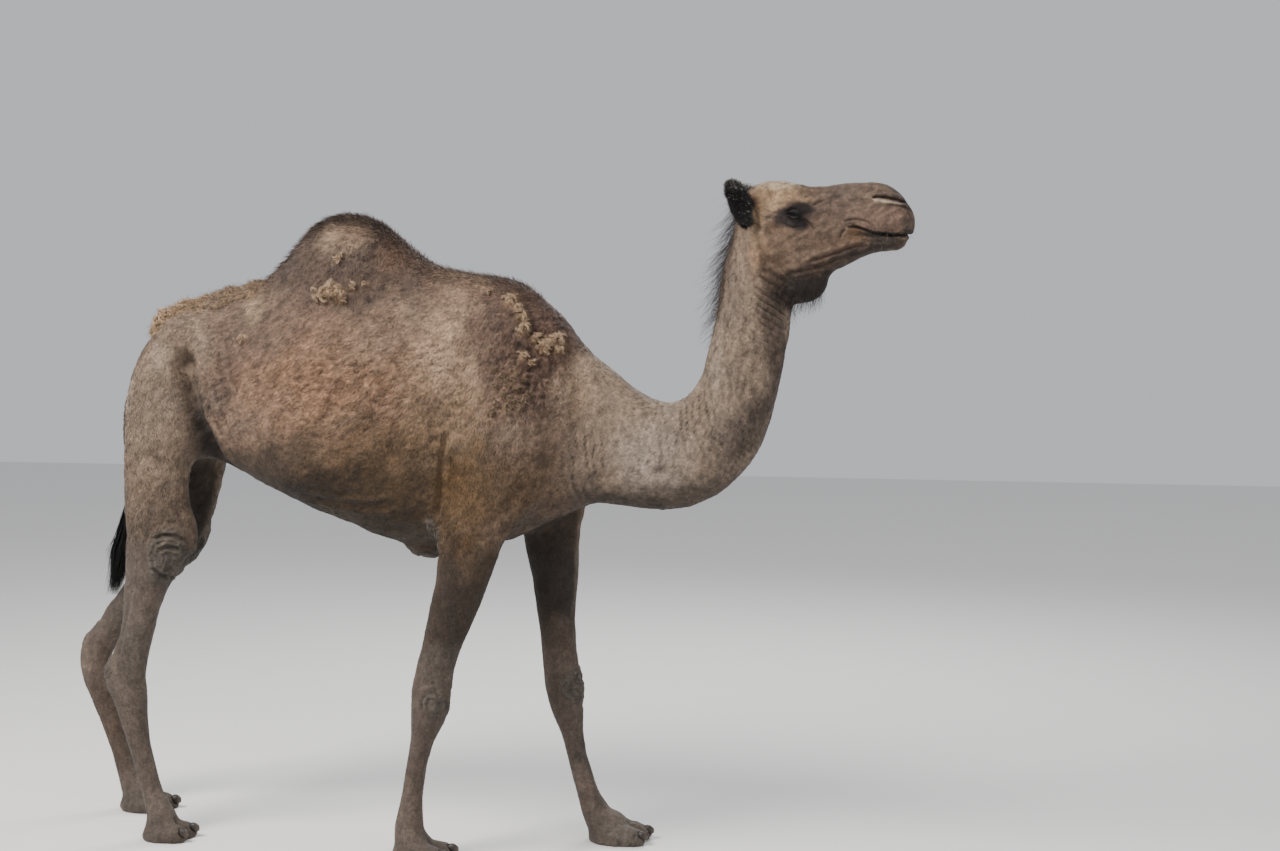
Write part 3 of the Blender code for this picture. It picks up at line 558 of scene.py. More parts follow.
def wool_share(p):
    """Where the longer, crimped wool still hangs on: the flank, the shoulder and the hump."""
    flat = p[:, [0, 2]]
    wool = bump_of(flat, (-0.26, 1.5), (0.38, 0.17)) + bump_of(flat, (0.29, 1.56), (0.13, 0.23))
    return np.clip(wool + 0.6 * bump_of(flat, (-0.35, 1.95), (0.24, 0.12)), 0, 1)


def crimp(p):
    """The relief of the wool: soft waves on the flank and tight curls on the shoulder."""
    curls = bump_of(p[:, [0, 2]], (0.3, 1.57), (0.1, 0.2))
    waves = fractal(p * (1.0, 1.0, 1.9), 0.021, 2, 24)
    return waves * (1 - curls) + curls * (1.2 - 3.2 * np.abs(noise(p, 0.02, 26)))


# fine folds: centre x, z, reach in x and z, height, wave in x and z, spacing, wander and its size, least |y|
FOLDS = [
    (0.78, 1.4, 0.13, 0.095, 0.0036, 0.96, 0.22, 0.022, 2.2, 0.05, 0.0),
    (0.93, 1.3, 0.1, 0.09, 0.0012, 1.0, 1.0, 0.026, 2.5, 0.06, 0.0),
    (0.455, 1.25, 0.07, 0.15, 0.003, 1.0, 0.14, 0.026, 3.2, 0.07, 0.05),
    (1.03, 1.72, 0.07, 0.09, 0.0018, 0.7, 1.0, 0.022, 2.0, 0.05, 0.0),
    (-0.74, 1.38, 0.07, 0.16, 0.0016, 0.9, 0.4, 0.034, 1.5, 0.08, 0.1),
    (-0.33, 1.5, 0.3, 0.2, 0.0042, 0.8, -0.45, 0.105, 0.8, 0.2, 0.12),
]


def folded(p):
    """The height of the folds of neck, chest and flank and of the ribs, and the painted shade in each fold's
    troughs.
    """
    height, dark = np.zeros(len(p)), np.zeros(len(p))
    for k, (x, z, rx, rz, high, dx, dz, spacing, wander, size, least) in enumerate(FOLDS, 1):
        share = bump_of(p[:, [0, 2]], (x, z), (rx, rz))
        share = share * smoothstep(least - 0.02, least + 0.05, np.abs(p[:, 1]))
        wave = np.sin(2 * np.pi * (p[:, 0] * dx + p[:, 2] * dz) / spacing + wander * noise(p, size, k))
        height += share * high * wave
        if spacing < 0.05:
            broken = smoothstep(-0.5, 0.3, noise(p * (1.0, 1.0, 0.5), 0.035, 8 + k))
            # painted shade in the troughs of the fine folds
            dark += share * smoothstep(0.45, 1.0, -wave) * broken
    return height, dark


def lip_split(p):
    """The groove down the middle of the upper lip."""
    x, y, z = p.T
    line = np.exp(-((y / 0.0035) ** 2)) * smoothstep(1.4, 1.44, x)
    return line * smoothstep(1.945, 1.955, z) * smoothstep(2.02, 2.0, z)


def wrinkles(p):
    """The folds, and the lie of the wool."""
    share = regions(p)
    out = folded(p)[0] - 0.0035 * lip_split(p)
    trunk = (1 - share["head"]) * (1 - share["ear"]) * (1 - share["legs"]) * (1 - 0.6 * share["neck"])
    out += trunk * (0.003 * noise(p, 0.11, 20) + 0.002 * noise(p, 0.045, 21) + 0.0014 * noise(p, 0.02, 22))
    out += wool_share(p) * trunk * 0.003 * crimp(p)
    out += share["legs"] * (0.0012 * noise(p * (1, 1, 0.35), 0.02, 26) + 0.0005 * noise(p, 0.009, 27))
    out += share["head"] * (0.001 * noise(p, 0.026, 28) + 0.0005 * noise(p, 0.009, 29))
    out += share["neck"] * (0.0008 * noise(p, 0.014, 30) + 0.0014 * noise(p, 0.05, 31))
    return out


LID_TILT = math.radians(-10)
LID_HALF, LID_UP, LID_DOWN = 0.0192, 0.0088, 0.0072


def eye_frame(p, side):
    """Each point seen from an eye: along its slit, across it, and outward."""
    u = np.array([math.cos(LID_TILT), 0, math.sin(LID_TILT)])
    v = np.array([-math.sin(LID_TILT), 0, math.cos(LID_TILT)])
    local = p - EYE_CENTRE * (1, side, 1)
    return local @ u, local @ v, local[:, 1] * side, u, v


def lid_edge(u):
    """How far the upper and lower lid margins stand from the slit's axis."""
    t = np.clip(np.abs(u) / LID_HALF, 0, 1)
    skew = 1 + 0.25 * np.clip(u / LID_HALF, -1, 1)
    return LID_UP * (1 - t**2.2) * (2 - skew), -LID_DOWN * (1 - t**2.0) * skew


# creases and the soft ridge above the upper lid: height, distance from the lid's edge, width, fade along it
LID_FOLDS = (
    (-0.0026, 0.0065, 0.0016, 0.03, 0.018),
    (-0.0014, 0.0115, 0.0018, 0.03, 0.015),
    (0.005, 0.019, 0.006, 0.042, 0.02),
)


def lid_relief(w, u, v, up, down, fine):
    """The creases above the upper lid and the wrinkled pouch below the lower one, added to the height."""
    upper = smoothstep(-0.001, 0.004, v - up)
    for height, above_edge, wide, outer, inner in LID_FOLDS:
        ridge = np.exp(-(((v - up - above_edge) / wide) ** 2))
        w = w + upper * height * ridge * smoothstep(outer, inner, np.abs(u))
    below = down - v
    lower = smoothstep(0.0005, 0.003, below) * smoothstep(0.034, 0.018, np.abs(u))
    w = w + lower * 0.0034 * smoothstep(0.0, 0.006, below) * smoothstep(0.028, 0.02, below)
    ripple = np.sin(2 * np.pi * (below + 0.0012 * fine) / 0.0046)
    w = w + lower * 0.0007 * ripple * smoothstep(0.026, 0.018, below)
    return w - lower * 0.0032 * np.exp(-(((below - 0.0265) / 0.0022) ** 2))


def lids(q, u, v, w):
    """Heights of one eye's lids over the ball, and places across the slit that follow the lids' edges."""
    up, down = lid_edge(u)
    out = np.maximum.reduce([v - up, down - v, np.abs(u) - LID_HALF])
    middle = (up + down) / 2
    snap = (out > -0.0011) & (out < 0.0008) & (np.abs(u) < LID_HALF)
    v = np.where(snap, np.where(v > middle, up, down), v)
    out = np.where(snap, 0.0, out)
    ball = np.sqrt(np.clip(EYE_RADIUS**2 - u**2 - v**2, 0, None))
    thick = np.where(v > middle, 0.003, 0.0024)
    lid = ball + 0.001 + (thick - 0.001) * smoothstep(0, 0.0035, out)
    share = smoothstep(0.03, 0.014, np.hypot(u, v * 1.15))
    w = w + share * (np.maximum(w, lid) - w)
    fine = noise(q, 0.006, 40)
    w = lid_relief(w, u, v, up, down, fine)
    w = w + 0.0004 * fine * smoothstep(0.045, 0.03, np.hypot(u / 1.25, v)) * (out > 0.001)
    clear = ball + np.where(out > 0.0008, 0.0013, 0.001)
    w = np.where((out > -0.0004) & (np.hypot(u, v) < EYE_RADIUS), np.maximum(w, clear), w)
    return v, np.where(out < -0.0004, np.minimum(w, ball - 0.0055), w)


def shape_lids(p):
    """Lids that lie on the eyeball, with an open slit, a crease above and a wrinkled pouch below."""
    for side in (-1, 1):
        centre = EYE_CENTRE * (1, side, 1)
        near = np.linalg.norm(p - centre, axis=1) < 0.062
        near &= p[:, 1] * side > 0.02
        q = p[near]
        u, v, w, along, across = eye_frame(q, side)
        v, w = lids(q, u, v, w)
        moved = centre + u[:, None] * along + v[:, None] * across
        moved[:, 1] = side * (EYE_CENTRE[1] + w)
        p[near] = moved
    return p


def toe_cleft(p):
    """The foot parts into two toes at the front, above a broad soft sole."""
    height = np.zeros(len(p))
    for name in LIMBS:
        low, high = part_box(name + "_foot")
        middle = (low.y + high.y) / 2 + (0.004 if "left" in name else -0.004)
        ahead = smoothstep(high.x - 0.13, high.x - 0.03, p[:, 0]) * (p[:, 0] < high.x + 0.02)
        inside = (p[:, 1] > low.y - 0.01) & (p[:, 1] < high.y + 0.01) & (p[:, 2] < 0.1)
        gap = np.exp(-(((p[:, 1] - middle) / 0.0075) ** 2))
        height -= inside * ahead * gap * 0.016 * smoothstep(0.085, 0.05, p[:, 2])
    return height


def coat_depth(p):
    """How deep the coat is, and so how far the skin lies inside the solids."""
    share = regions(p)
    depth = 0.0062 - 0.003 * share["neck"] - 0.0036 * share["legs"]
    depth = depth * (1 - share["head"]) + 0.0018 * share["head"]
    depth = depth * (1 - share["ear"]) + 0.001 * share["ear"]
    return depth * (1 - 0.85 * smoothstep(0.03, 0.005, p[:, 2]))


def round_ears(p):
    """The ears end in a broad round tip."""
    base, tip = np.array([0.966, 0.079, 1.99]), np.array([0.914, 0.104, 2.119])
    way = tip - base
    length = np.linalg.norm(way)
    way = way / length
    wide = np.cross(way, (0, 1.0, 0))
    wide = wide / np.linalg.norm(wide)
    ear = regions(p)["ear"]
    for side in (-1, 1):
        flip = np.array([1.0, side, 1.0])
        local = p * flip - base
        t = np.clip(local @ way / length, 0, 1)
        factor = np.clip(0.68 * (1.02 - t) ** -0.45, 1.0, 2.1) - 1
        mine = (p[:, 1] * side > 0.05) * ear * smoothstep(0.55, 0.7, t)
        p = p + (mine * factor * (local @ wide))[:, None] * wide * flip
    return p


def shape_skin(mesh):
    """Gives the smooth skin its folds, pads, lids, toes and ears."""
    refine(mesh)
    p, tris = points_of(mesh), triangles_of(mesh)
    n = normals_of(p, tris)
    move = folds(p) + pads(p) + mats(p) + wrinkles(p) + toe_cleft(p) - coat_depth(p)
    sole = p[:, 2] < 0.012
    p = p + n * (move * np.where(sole, 0.25, 1))[:, None]
    p = round_ears(shape_lids(p))
    p[:, 2] = np.maximum(p[:, 2], 0.0005)
    set_points(mesh, p)


# ---------------------------------------------------------------- coat colour and painted shade
def linear(*srgb):
    c = np.array(srgb, float) / 255
    return np.where(c <= 0.04045, c / 12.92, ((c + 0.055) / 1.055) ** 2.4)


def blend(colours, share, rgb):
    """The colours moved towards one colour, by a share for each point."""
    return colours + share[:, None] * (linear(*rgb) - colours)


DARKER, RICHER = 0.5, 1.12
FLANK_CREASE = [(-0.866, 1.6), (-0.844, 1.5), (-0.824, 1.4), (-0.806, 1.3), (-0.794, 1.16)]
FACE_GROOVES = slice(3, 18)
BODY, GREY_TAN, WOOL_TAN = (150, 126, 108), (172, 152, 134), (176, 148, 118)
EAR_BLACK, TAIL_BROWN, CREST_BROWN = (34, 30, 31), (76, 64, 56), (84, 72, 64)
PAD_GREY, PALE_RIM, NOSTRIL_SLIT_SHADE = (100, 91, 81), (216, 198, 172), (26, 20, 18)
NOSTRIL_RIM_SHADOW, MOUTH_SHADE, GROOVE_SHADE = (52, 42, 38), (30, 25, 22), (58, 44, 36)
FLANK_CREASE_SHADE, STIFLE_CREASE_SHADE = (42, 34, 30), (44, 38, 34)
# markings and painted shade in side view: centre x, z, radii, tilt in degrees, softness, strength, colour and
# any least |y|
MARKS_AND_SHADE = [
    # trunk
    (-0.3, 1.52, 0.42, 0.2, -8, 0.5, 0.75, (158, 124, 101)),
    (-0.34, 1.5, 0.3, 0.12, 4, 0.6, 0.55, (168, 132, 106)),
    (-0.13, 1.64, 0.2, 0.09, -10, 0.6, 0.55, (164, 138, 117)),
    (0.065, 1.56, 0.115, 0.33, 6, 0.75, 0.66, (206, 177, 149)),
    (0.06, 1.35, 0.1, 0.14, 0, 0.6, 0.45, (164, 140, 118)),
    (-0.25, 1.27, 0.4, 0.11, 14, 0.85, 0.75, (116, 92, 67)),
    # the belly's olive hair, darkened further as painted shade
    (-0.17, 1.12, 0.44, 0.13, 16, 0.65, 0.85, (84, 65, 43)),
    (-0.05, 1.02, 0.22, 0.08, 0, 0.4, 0.7, (86, 68, 46)),
    (-0.56, 1.21, 0.22, 0.08, 28, 0.75, 0.7, (86, 71, 59)),
    (-0.35, 1.87, 0.28, 0.15, 0, 0.45, 0.85, (94, 77, 66)),
    (-0.35, 2.01, 0.22, 0.06, 0, 0.5, 0.75, (84, 72, 66)),
    (-0.12, 1.86, 0.15, 0.06, -38, 0.5, 0.75, (88, 72, 64)),
    (-0.56, 1.9, 0.12, 0.07, 50, 0.5, 0.6, (92, 78, 70)),
    (-0.35, 1.955, 0.085, 0.045, 10, 0.5, 0.85, (172, 146, 124)),
    (-0.39, 1.8, 0.23, 0.06, 6, 0.6, 0.62, (108, 88, 77)),
    (-0.33, 1.725, 0.13, 0.04, 0, 0.6, 0.4, (112, 90, 77)),
    (-0.575, 1.577, 0.06, 0.05, 0, 0.6, 0.4, (116, 95, 82)),
    (0.16, 1.795, 0.055, 0.05, 0, 0.6, 0.5, (108, 88, 77)),
    (-0.56, 1.67, 0.17, 0.07, 12, 0.6, 0.6, (112, 92, 80)),
    (-0.7, 1.7, 0.11, 0.06, 30, 0.6, 0.5, (126, 106, 92)),
    (-0.65, 1.73, 0.03, 0.055, 20, 0.5, 0.8, (184, 158, 132)),
    (-0.83, 1.615, 0.048, 0.1, 14, 0.6, 0.75, (204, 180, 158)),
    # painted shade in the hollow of the flank
    (-0.71, 1.53, 0.065, 0.13, -12, 0.6, 0.65, (106, 87, 77)),
    # painted shade along the lower edge of the belly
    (-0.42, 1.15, 0.26, 0.055, 22, 0.5, 0.8, (62, 47, 31)),
    (-0.17, 1.9, 0.06, 0.05, -20, 0.6, 0.4, (150, 118, 96)),
    (0.02, 1.8, 0.1, 0.06, -20, 0.6, 0.45, (150, 122, 102)),
    # painted shadow in the fold between flank and thigh
    (-0.797, 1.345, 0.026, 0.1, 17, 0.45, 0.97, (26, 22, 20), 0.08),
    (-0.765, 1.262, 0.05, 0.06, 10, 0.45, 0.97, (26, 22, 20), 0.08),
    # shoulder
    (0.27, 1.68, 0.165, 0.23, 12, 0.35, 0.92, (116, 93, 80)),
    (0.262, 1.48, 0.105, 0.19, -4, 0.4, 0.85, (116, 93, 80)),
    (0.43, 1.5, 0.05, 0.13, 10, 0.6, 0.6, (178, 154, 132)),
    (0.36, 1.68, 0.06, 0.12, 24, 0.6, 0.5, (118, 90, 78)),
    (0.5, 1.545, 0.085, 0.06, -34, 0.6, 0.55, (188, 165, 143)),
    (0.13, 1.84, 0.14, 0.04, -8, 0.6, 0.6, (96, 78, 68)),
    (0.27, 1.36, 0.06, 0.05, 0, 0.6, 0.55, (172, 150, 130)),
    (0.22, 1.18, 0.15, 0.11, 0, 0.6, 0.6, (106, 83, 59)),
    (0.09, 1.17, 0.08, 0.14, 0, 0.6, 0.6, (116, 88, 57)),
    # neck
    (0.66, 1.27, 0.18, 0.12, 0, 0.6, 0.7, (194, 176, 160)),
    (0.69, 1.43, 0.07, 0.04, 0, 0.6, 0.45, (186, 168, 150)),
    (0.96, 1.63, 0.05, 0.06, 0, 0.6, 0.45, (128, 109, 95)),
    (0.48, 1.3, 0.06, 0.16, 0, 0.6, 0.55, (140, 120, 104)),
    (0.87, 1.48, 0.11, 0.26, 0, 0.6, 0.65, (166, 146, 128)),
    (0.93, 1.7, 0.09, 0.24, 0, 0.6, 0.55, (156, 136, 118)),
    (0.56, 1.43, 0.16, 0.06, -26, 0.6, 0.45, (170, 146, 124)),
    (1.05, 1.64, 0.036, 0.28, 3, 0.6, 0.75, (96, 80, 70)),
    (0.96, 1.37, 0.13, 0.045, 52, 0.6, 0.75, (98, 84, 76)),
    (0.78, 1.15, 0.2, 0.045, 14, 0.6, 0.6, (112, 98, 88)),
    (0.56, 1.12, 0.17, 0.045, 0, 0.6, 0.7, (92, 79, 70)),
    (0.905, 1.86, 0.03, 0.13, 0, 0.6, 0.45, (108, 90, 80)),
    (0.86, 1.62, 0.022, 0.2, 0, 0.6, 0.5, (186, 168, 150)),
    # rump, thigh and hind legs
    (-0.93, 1.56, 0.17, 0.15, 0, 0.6, 0.55, (140, 120, 104)),
    (-0.93, 1.58, 0.05, 0.07, 20, 0.6, 0.6, (190, 170, 150)),
    (-0.94, 1.3, 0.15, 0.24, 0, 0.6, 0.65, (152, 134, 117)),
    (-0.85, 1.52, 0.09, 0.1, 0, 0.6, 0.4, (122, 104, 90)),
    (-1.09, 1.5, 0.04, 0.18, 0, 0.6, 0.7, (188, 170, 152)),
    (-1.0, 1.71, 0.06, 0.04, 40, 0.6, 0.6, (170, 146, 122)),
    (-0.96, 0.98, 0.2, 0.15, 0, 0.6, 0.75, (92, 80, 69)),
    (-1.23, 0.88, 0.26, 0.2, 0, 0.6, 0.55, (106, 92, 80)),
    (-1.13, 0.62, 0.3, 0.15, 0, 0.6, 0.75, (102, 90, 79)),
    (-1.15, 0.3, 0.4, 0.26, 0, 0.6, 0.75, (100, 86, 73)),
    (-1.35, 0.3, 0.08, 0.24, 0, 0.6, 0.65, (96, 72, 54)),
    (-1.145, 0.64, 0.014, 0.13, 12, 0.6, 0.45, (168, 142, 116)),
    (-1.4, 0.74, 0.016, 0.12, 22, 0.6, 0.45, (158, 138, 118)),
    # fore legs
    (0.08, 0.9, 0.17, 0.12, 0, 0.6, 0.85, (98, 72, 44)),
    (0.09, 0.74, 0.22, 0.15, 0, 0.6, 0.9, (70, 52, 34)),
    (0.25, 0.82, 0.13, 0.26, 0, 0.6, 0.6, (84, 67, 49)),
    (0.062, 0.87, 0.045, 0.19, 0, 0.6, 0.6, (54, 42, 32)),
    (0.16, 0.33, 0.42, 0.28, 0, 0.6, 0.8, (88, 73, 62)),
    (0.0, 0.6, 0.12, 0.07, 0, 0.6, 0.5, (112, 98, 86)),
    (0.2, 0.04, 0.5, 0.06, 0, 0.6, 0.6, (92, 80, 70)),
    (-1.1, 0.04, 0.4, 0.06, 0, 0.6, 0.6, (96, 84, 72)),
]
HEAD_MARKS_AND_SHADE = [
    (1.17, 1.94, 0.19, 0.09, 0, 0.6, 0.8, (140, 117, 100)),
    (1.23, 2.04, 0.12, 0.06, 0, 0.6, 0.8, (120, 100, 88)),
    (1.23, 2.085, 0.08, 0.03, 0, 0.6, 0.6, (108, 92, 84)),
    (1.395, 1.99, 0.08, 0.045, 0, 0.6, 0.75, (136, 110, 98)),
    (1.4, 2.07, 0.07, 0.035, -20, 0.6, 0.7, (98, 84, 76)),
    (1.32, 2.08, 0.08, 0.03, 0, 0.6, 0.6, (124, 106, 90)),
    (1.05, 2.075, 0.085, 0.055, 0, 0.5, 0.9, (192, 160, 128)),
    (1.05, 2.11, 0.075, 0.022, 0, 0.4, 0.9, (222, 196, 166)),
    (0.99, 2.03, 0.03, 0.06, 0, 0.5, 0.8, (172, 142, 112)),
    (1.16, 2.092, 0.05, 0.025, 0, 0.6, 0.75, (112, 92, 78)),
    (1.032, 1.972, 0.036, 0.016, 10, 0.6, 0.75, (92, 70, 54)),
    (1.04, 1.9, 0.06, 0.08, 0, 0.6, 0.45, (132, 108, 88)),
    (0.992, 1.91, 0.022, 0.07, -8, 0.5, 0.8, (190, 160, 132)),
    (1.01, 1.88, 0.012, 0.08, 0, 0.5, 0.4, (100, 80, 66), 0.03),
    (1.318, 1.938, 0.03, 0.012, 10, 0.6, 0.6, (84, 66, 56)),
    (1.19, 1.86, 0.12, 0.022, 20, 0.5, 0.65, (84, 68, 56)),
    # under the jaw: the throat's dark hair, darkened further as painted shadow
    (1.155, 1.795, 0.105, 0.042, 14, 0.45, 0.95, (34, 28, 24)),
    (1.105, 1.765, 0.06, 0.04, 0, 0.5, 0.65, (48, 40, 34)),
    # painted shadow under the chin
    (1.31, 1.902, 0.08, 0.014, 8, 0.55, 0.85, (46, 38, 33)),
    (1.24, 1.845, 0.1, 0.018, 24, 0.6, 0.8, (62, 50, 44)),
    (1.33, 1.912, 0.06, 0.014, 6, 0.6, 0.7, (92, 76, 66)),
    (1.29, 1.955, 0.026, 0.022, 0, 0.6, 0.85, (112, 80, 56)),
    (1.28, 1.93, 0.06, 0.02, 10, 0.6, 0.5, (150, 120, 98)),
    (1.38, 1.948, 0.08, 0.01, -2, 0.55, 0.95, (48, 50, 44)),
    (1.45, 1.952, 0.018, 0.012, 0, 0.5, 0.95, (26, 24, 24)),
    (1.44, 1.975, 0.018, 0.026, 0, 0.6, 0.6, (84, 76, 68)),
    (1.38, 1.92, 0.06, 0.018, 0, 0.6, 0.8, (54, 45, 40)),
    (1.39, 1.932, 0.04, 0.006, 0, 0.6, 0.6, (56, 54, 48)),
    (1.152, 2.04, 0.018, 0.007, 30, 0.6, 0.6, (92, 76, 66)),
]
EYE_MARKS = [
    (1.104, 2.006, 0.056, 0.043, -24, 0.3, 0.9, (66, 54, 49), 0.03),
    (1.098, 2.01, 0.04, 0.026, -18, 0.35, 0.95, (38, 31, 30), 0.03),
    (1.132, 2.03, 0.036, 0.016, -18, 0.45, 0.95, (42, 31, 31), 0.03),
    (1.11, 1.98, 0.034, 0.014, -14, 0.4, 0.9, (58, 51, 50), 0.03),
    (1.06, 2.0, 0.018, 0.014, 0, 0.4, 0.8, (56, 44, 40), 0.03),
]


def paint(colours, p, marks, wander, seed, ragged=0.22):
    """Lays soft-edged, ragged markings over the colours, one after another."""
    sides = both_sides(p)
    drift_x = noise(p, wander, seed)
    drift_z = noise(p, wander, seed + 1)
    rough = fractal(p, wander * 0.8, 3, seed + 2)
    for x, z, rx, rz, tilt, soft, strength, colour, *least in marks:
        small = min(rx, rz)
        dx = sides[:, 0] - x + drift_x * small * 0.35
        dz = sides[:, 2] - z + drift_z * small * 0.35
        near = (np.abs(dx) < 2.2 * max(rx, rz)) & (np.abs(dz) < 2.2 * max(rx, rz))
        near &= sides[:, 1] >= (least[0] if least else 0)
        a = math.radians(tilt)
        along = dx[near] * math.cos(a) + dz[near] * math.sin(a)
        up = -dx[near] * math.sin(a) + dz[near] * math.cos(a)
        rho = np.hypot(along / rx, up / rz) + ragged * rough[near] * (0.6 if small > 0.075 else 1.0)
        share = strength * smoothstep(1 + soft, 1 - soft, rho)
        colours[near] = blend(colours[near], share, colour)
    return colours


def along_line(colours, p, line, width, colour, strength, from_y=0.0, fade=0.01):
    """Lays a soft stroke along a line over the colours, fading in over the first share of its length."""
    sides = both_sides(p)
    d, t = line_distance(sides[:, [0, 2]], line)
    share = strength * np.exp(-((d / width) ** 2)) * (sides[:, 1] > from_y) * smoothstep(0, fade, t)
    return blend(colours, share, colour)


def pad_shade_and_highlight(p):
    """Painted shade in the hardened pads' cracks and painted highlight on their ridges, after their relief.
    """
    tone = np.zeros(len(p))
    for centre, radii, _ in PADS:
        rho = reach_of(p, centre, radii)
        near = rho < 1.3
        tone[near] = pad_relief(p[near], rho[near])
    return tone


def head_colours(colours, p):
    """The head's colours: its nostrils, lips and wrinkles, with painted shade in the nostril slits, under
    their rims, along the mouth and in the grooves of the face.
    """
    c = paint(colours, p, HEAD_MARKS_AND_SHADE, 0.016, 60)
    c = paint(c, p, EYE_MARKS, 0.035, 70, 0.08)
    # painted shade inside the nostril slits
    c = along_line(c, p, NOSTRIL, 0.005, NOSTRIL_SLIT_SHADE, 0.98, 0.012)
    d, t = line_distance(both_sides(p)[:, [0, 2]], NOSTRIL_RIM)
    thick = np.interp(t, (0.0, 0.18, 0.5, 1.0), (0.0016, 0.0056, 0.004, 0.0014))
    pale = 0.85 * np.exp(-((d / thick) ** 2)) * (np.abs(p[:, 1]) > 0.012) * smoothstep(1.0, 0.75, t)
    c = blend(c, pale, PALE_RIM)
    # painted shadow under the nostril's rim
    c = along_line(c, p, NOSTRIL_UNDER, 0.0036, NOSTRIL_RIM_SHADOW, 0.6, 0.01, 0.4)
    # painted shade in the slit between the lips
    c = along_line(c, p, MOUTH, 0.004, MOUTH_SHADE, 0.9)
    # painted shade in the grooves and folds of the face
    for line, width, *_ in GROOVES[FACE_GROOVES]:
        strength = 0.65 if line[0][0] > 1.13 else 0.4
        c = along_line(c, p, line, width * 0.8, GROOVE_SHADE, strength, 0.02)
    return c


def patterns(p, share):
    """The broad marks, painted shade in the creases, the ears, tail, crest, hardened pads with painted shade
    and highlight on their relief, and the wool, lighter on its crests and darker in its troughs as painted
    light and shade.
    """
    c = blend(np.tile(linear(*BODY), (len(p), 1)), share["neck"] * 0.8, GREY_TAN)
    c = paint(c, p, MARKS_AND_SHADE, 0.06, 50)
    head = (p[:, 0] > 0.9) & (p[:, 2] > 1.7)
    c[head] = head_colours(c[head], p[head])
    # painted shade along the crease between flank and thigh
    c = along_line(c, p, FLANK_CREASE, 0.036, FLANK_CREASE_SHADE, 0.9, 0.08, 0.7)
    # painted shade in the creases of the stifle
    for line in STIFLE_CREASES:
        c = along_line(c, p, line, 0.006, STIFLE_CREASE_SHADE, 0.55, 0.1)
    c = blend(c, share["black"], EAR_BLACK)
    c = blend(c, 0.7 * (share["tail"] * smoothstep(1.6, 1.35, p[:, 2])), TAIL_BROWN)
    crest = smoothstep(0.05, 0.02, np.abs(p[:, 1])) * smoothstep(1.8, 1.86, p[:, 2])
    c = blend(c, 0.35 * (crest * smoothstep(0.4, 0.3, p[:, 0])), CREST_BROWN)
    callous = pad_share(p)
    c = blend(c, 0.7 * callous, PAD_GREY)
    # painted shade in the pads' cracks and painted highlight on their ridges
    c = c * (1 + 0.26 * callous * pad_shade_and_highlight(p))[:, None]
    wool = np.clip(mats(p) / 0.01, 0, 1)
    golden = linear(*WOOL_TAN) * (1 + 0.3 * noise(p, 0.015, 80) + 0.25 * noise(p, 0.006, 79))[:, None]
    c = c + (0.85 * wool)[:, None] * (golden - c)
    # the wool lighter on the crests of its crimp and darker in its troughs: painted light and shade
    return c * (1 + 0.46 * wool_share(p) * crimp(p))[:, None]


def flecks(c, p, share):
    """Dark flecks, fine cracks on neck and head, and dried mud on the legs."""
    speckle = smoothstep(0.5, 0.75, noise(p, 0.011, 81)) * (0.4 + 0.45 * share["neck"])
    c = c * (1 - 0.38 * speckle * (1 - share["ear"]))[:, None]
    cracked = np.exp(-((noise(p * (1.3, 1.3, 0.7), 0.024, 87) / 0.055) ** 2))
    cracked = cracked * smoothstep(-0.2, 0.3, noise(p, 0.07, 88))
    c = c * (1 - 0.58 * cracked * share["neck"])[:, None]
    cracked = np.exp(-((noise(p, 0.013, 89) / 0.06) ** 2)) * smoothstep(-0.1, 0.4, noise(p, 0.035, 90))
    c = c * (1 - 0.42 * cracked * share["head"])[:, None]
    mud = smoothstep(0.45, 0.7, noise(p, 0.01, 91)) * share["legs"]
    return c * (1 + 0.2 * mud)[:, None]


def uneven(c, p, share):
    """Streaks and patches of lighter and darker, warmer and cooler hair, and painted shade in the folds and
    in the groove of the upper lip.
    """
    x, y, z = p.T
    upright = np.clip(share["neck"] + share["legs"], 0, 1)
    slanting = noise(np.stack([0.45 * x + 0.26 * z, y, 0.9 * z - 0.5 * x], 1), 0.01, 86)
    streak = slanting + upright * (noise(p * (1.2, 1.2, 0.5), 0.01, 92) - slanting)
    patches = 0.11 * noise(p, 0.045, 83) + 0.2 * noise(p, 0.02, 84)
    tone = 0.1 * noise(p, 0.16, 82) + patches * (1 - 0.4 * share["neck"]) + 0.42 * streak
    # painted shade in the folds and in the groove of the upper lip
    tone = tone * (1 - 0.45 * share["legs"]) - 0.85 * folded(p)[1] - 0.35 * lip_split(p)
    warm = 0.025 * noise(p, 0.09, 85)
    return c * (1 + tone)[:, None] * np.stack([1 + warm, np.ones(len(p)), 1 - warm], axis=1)


def underside_painted_shade(p, n, share):
    """Painted shade: how much darker the belly and other downward faces and the insides of the legs are, by
    which way they face, with the feet darker near the ground.
    """
    low = smoothstep(0.1, 0.02, p[:, 2])
    # painted shade on faces that look down, and on the insides of the legs
    under = smoothstep(-0.05, -0.85, n[:, 2]) * (1 - 0.6 * share["head"]) * smoothstep(0.5, 0.9, p[:, 2])
    inward = smoothstep(0.1, 0.6, -np.sign(p[:, 1]) * n[:, 1]) * smoothstep(0.02, 0.06, np.abs(p[:, 1]))
    inward = inward * smoothstep(1.45, 1.2, p[:, 2]) * smoothstep(0.6, 0.9, p[:, 2])
    return (1 - 0.25 * low - 0.5 * np.maximum(under, inward)) * (1 - 0.5 * inward)


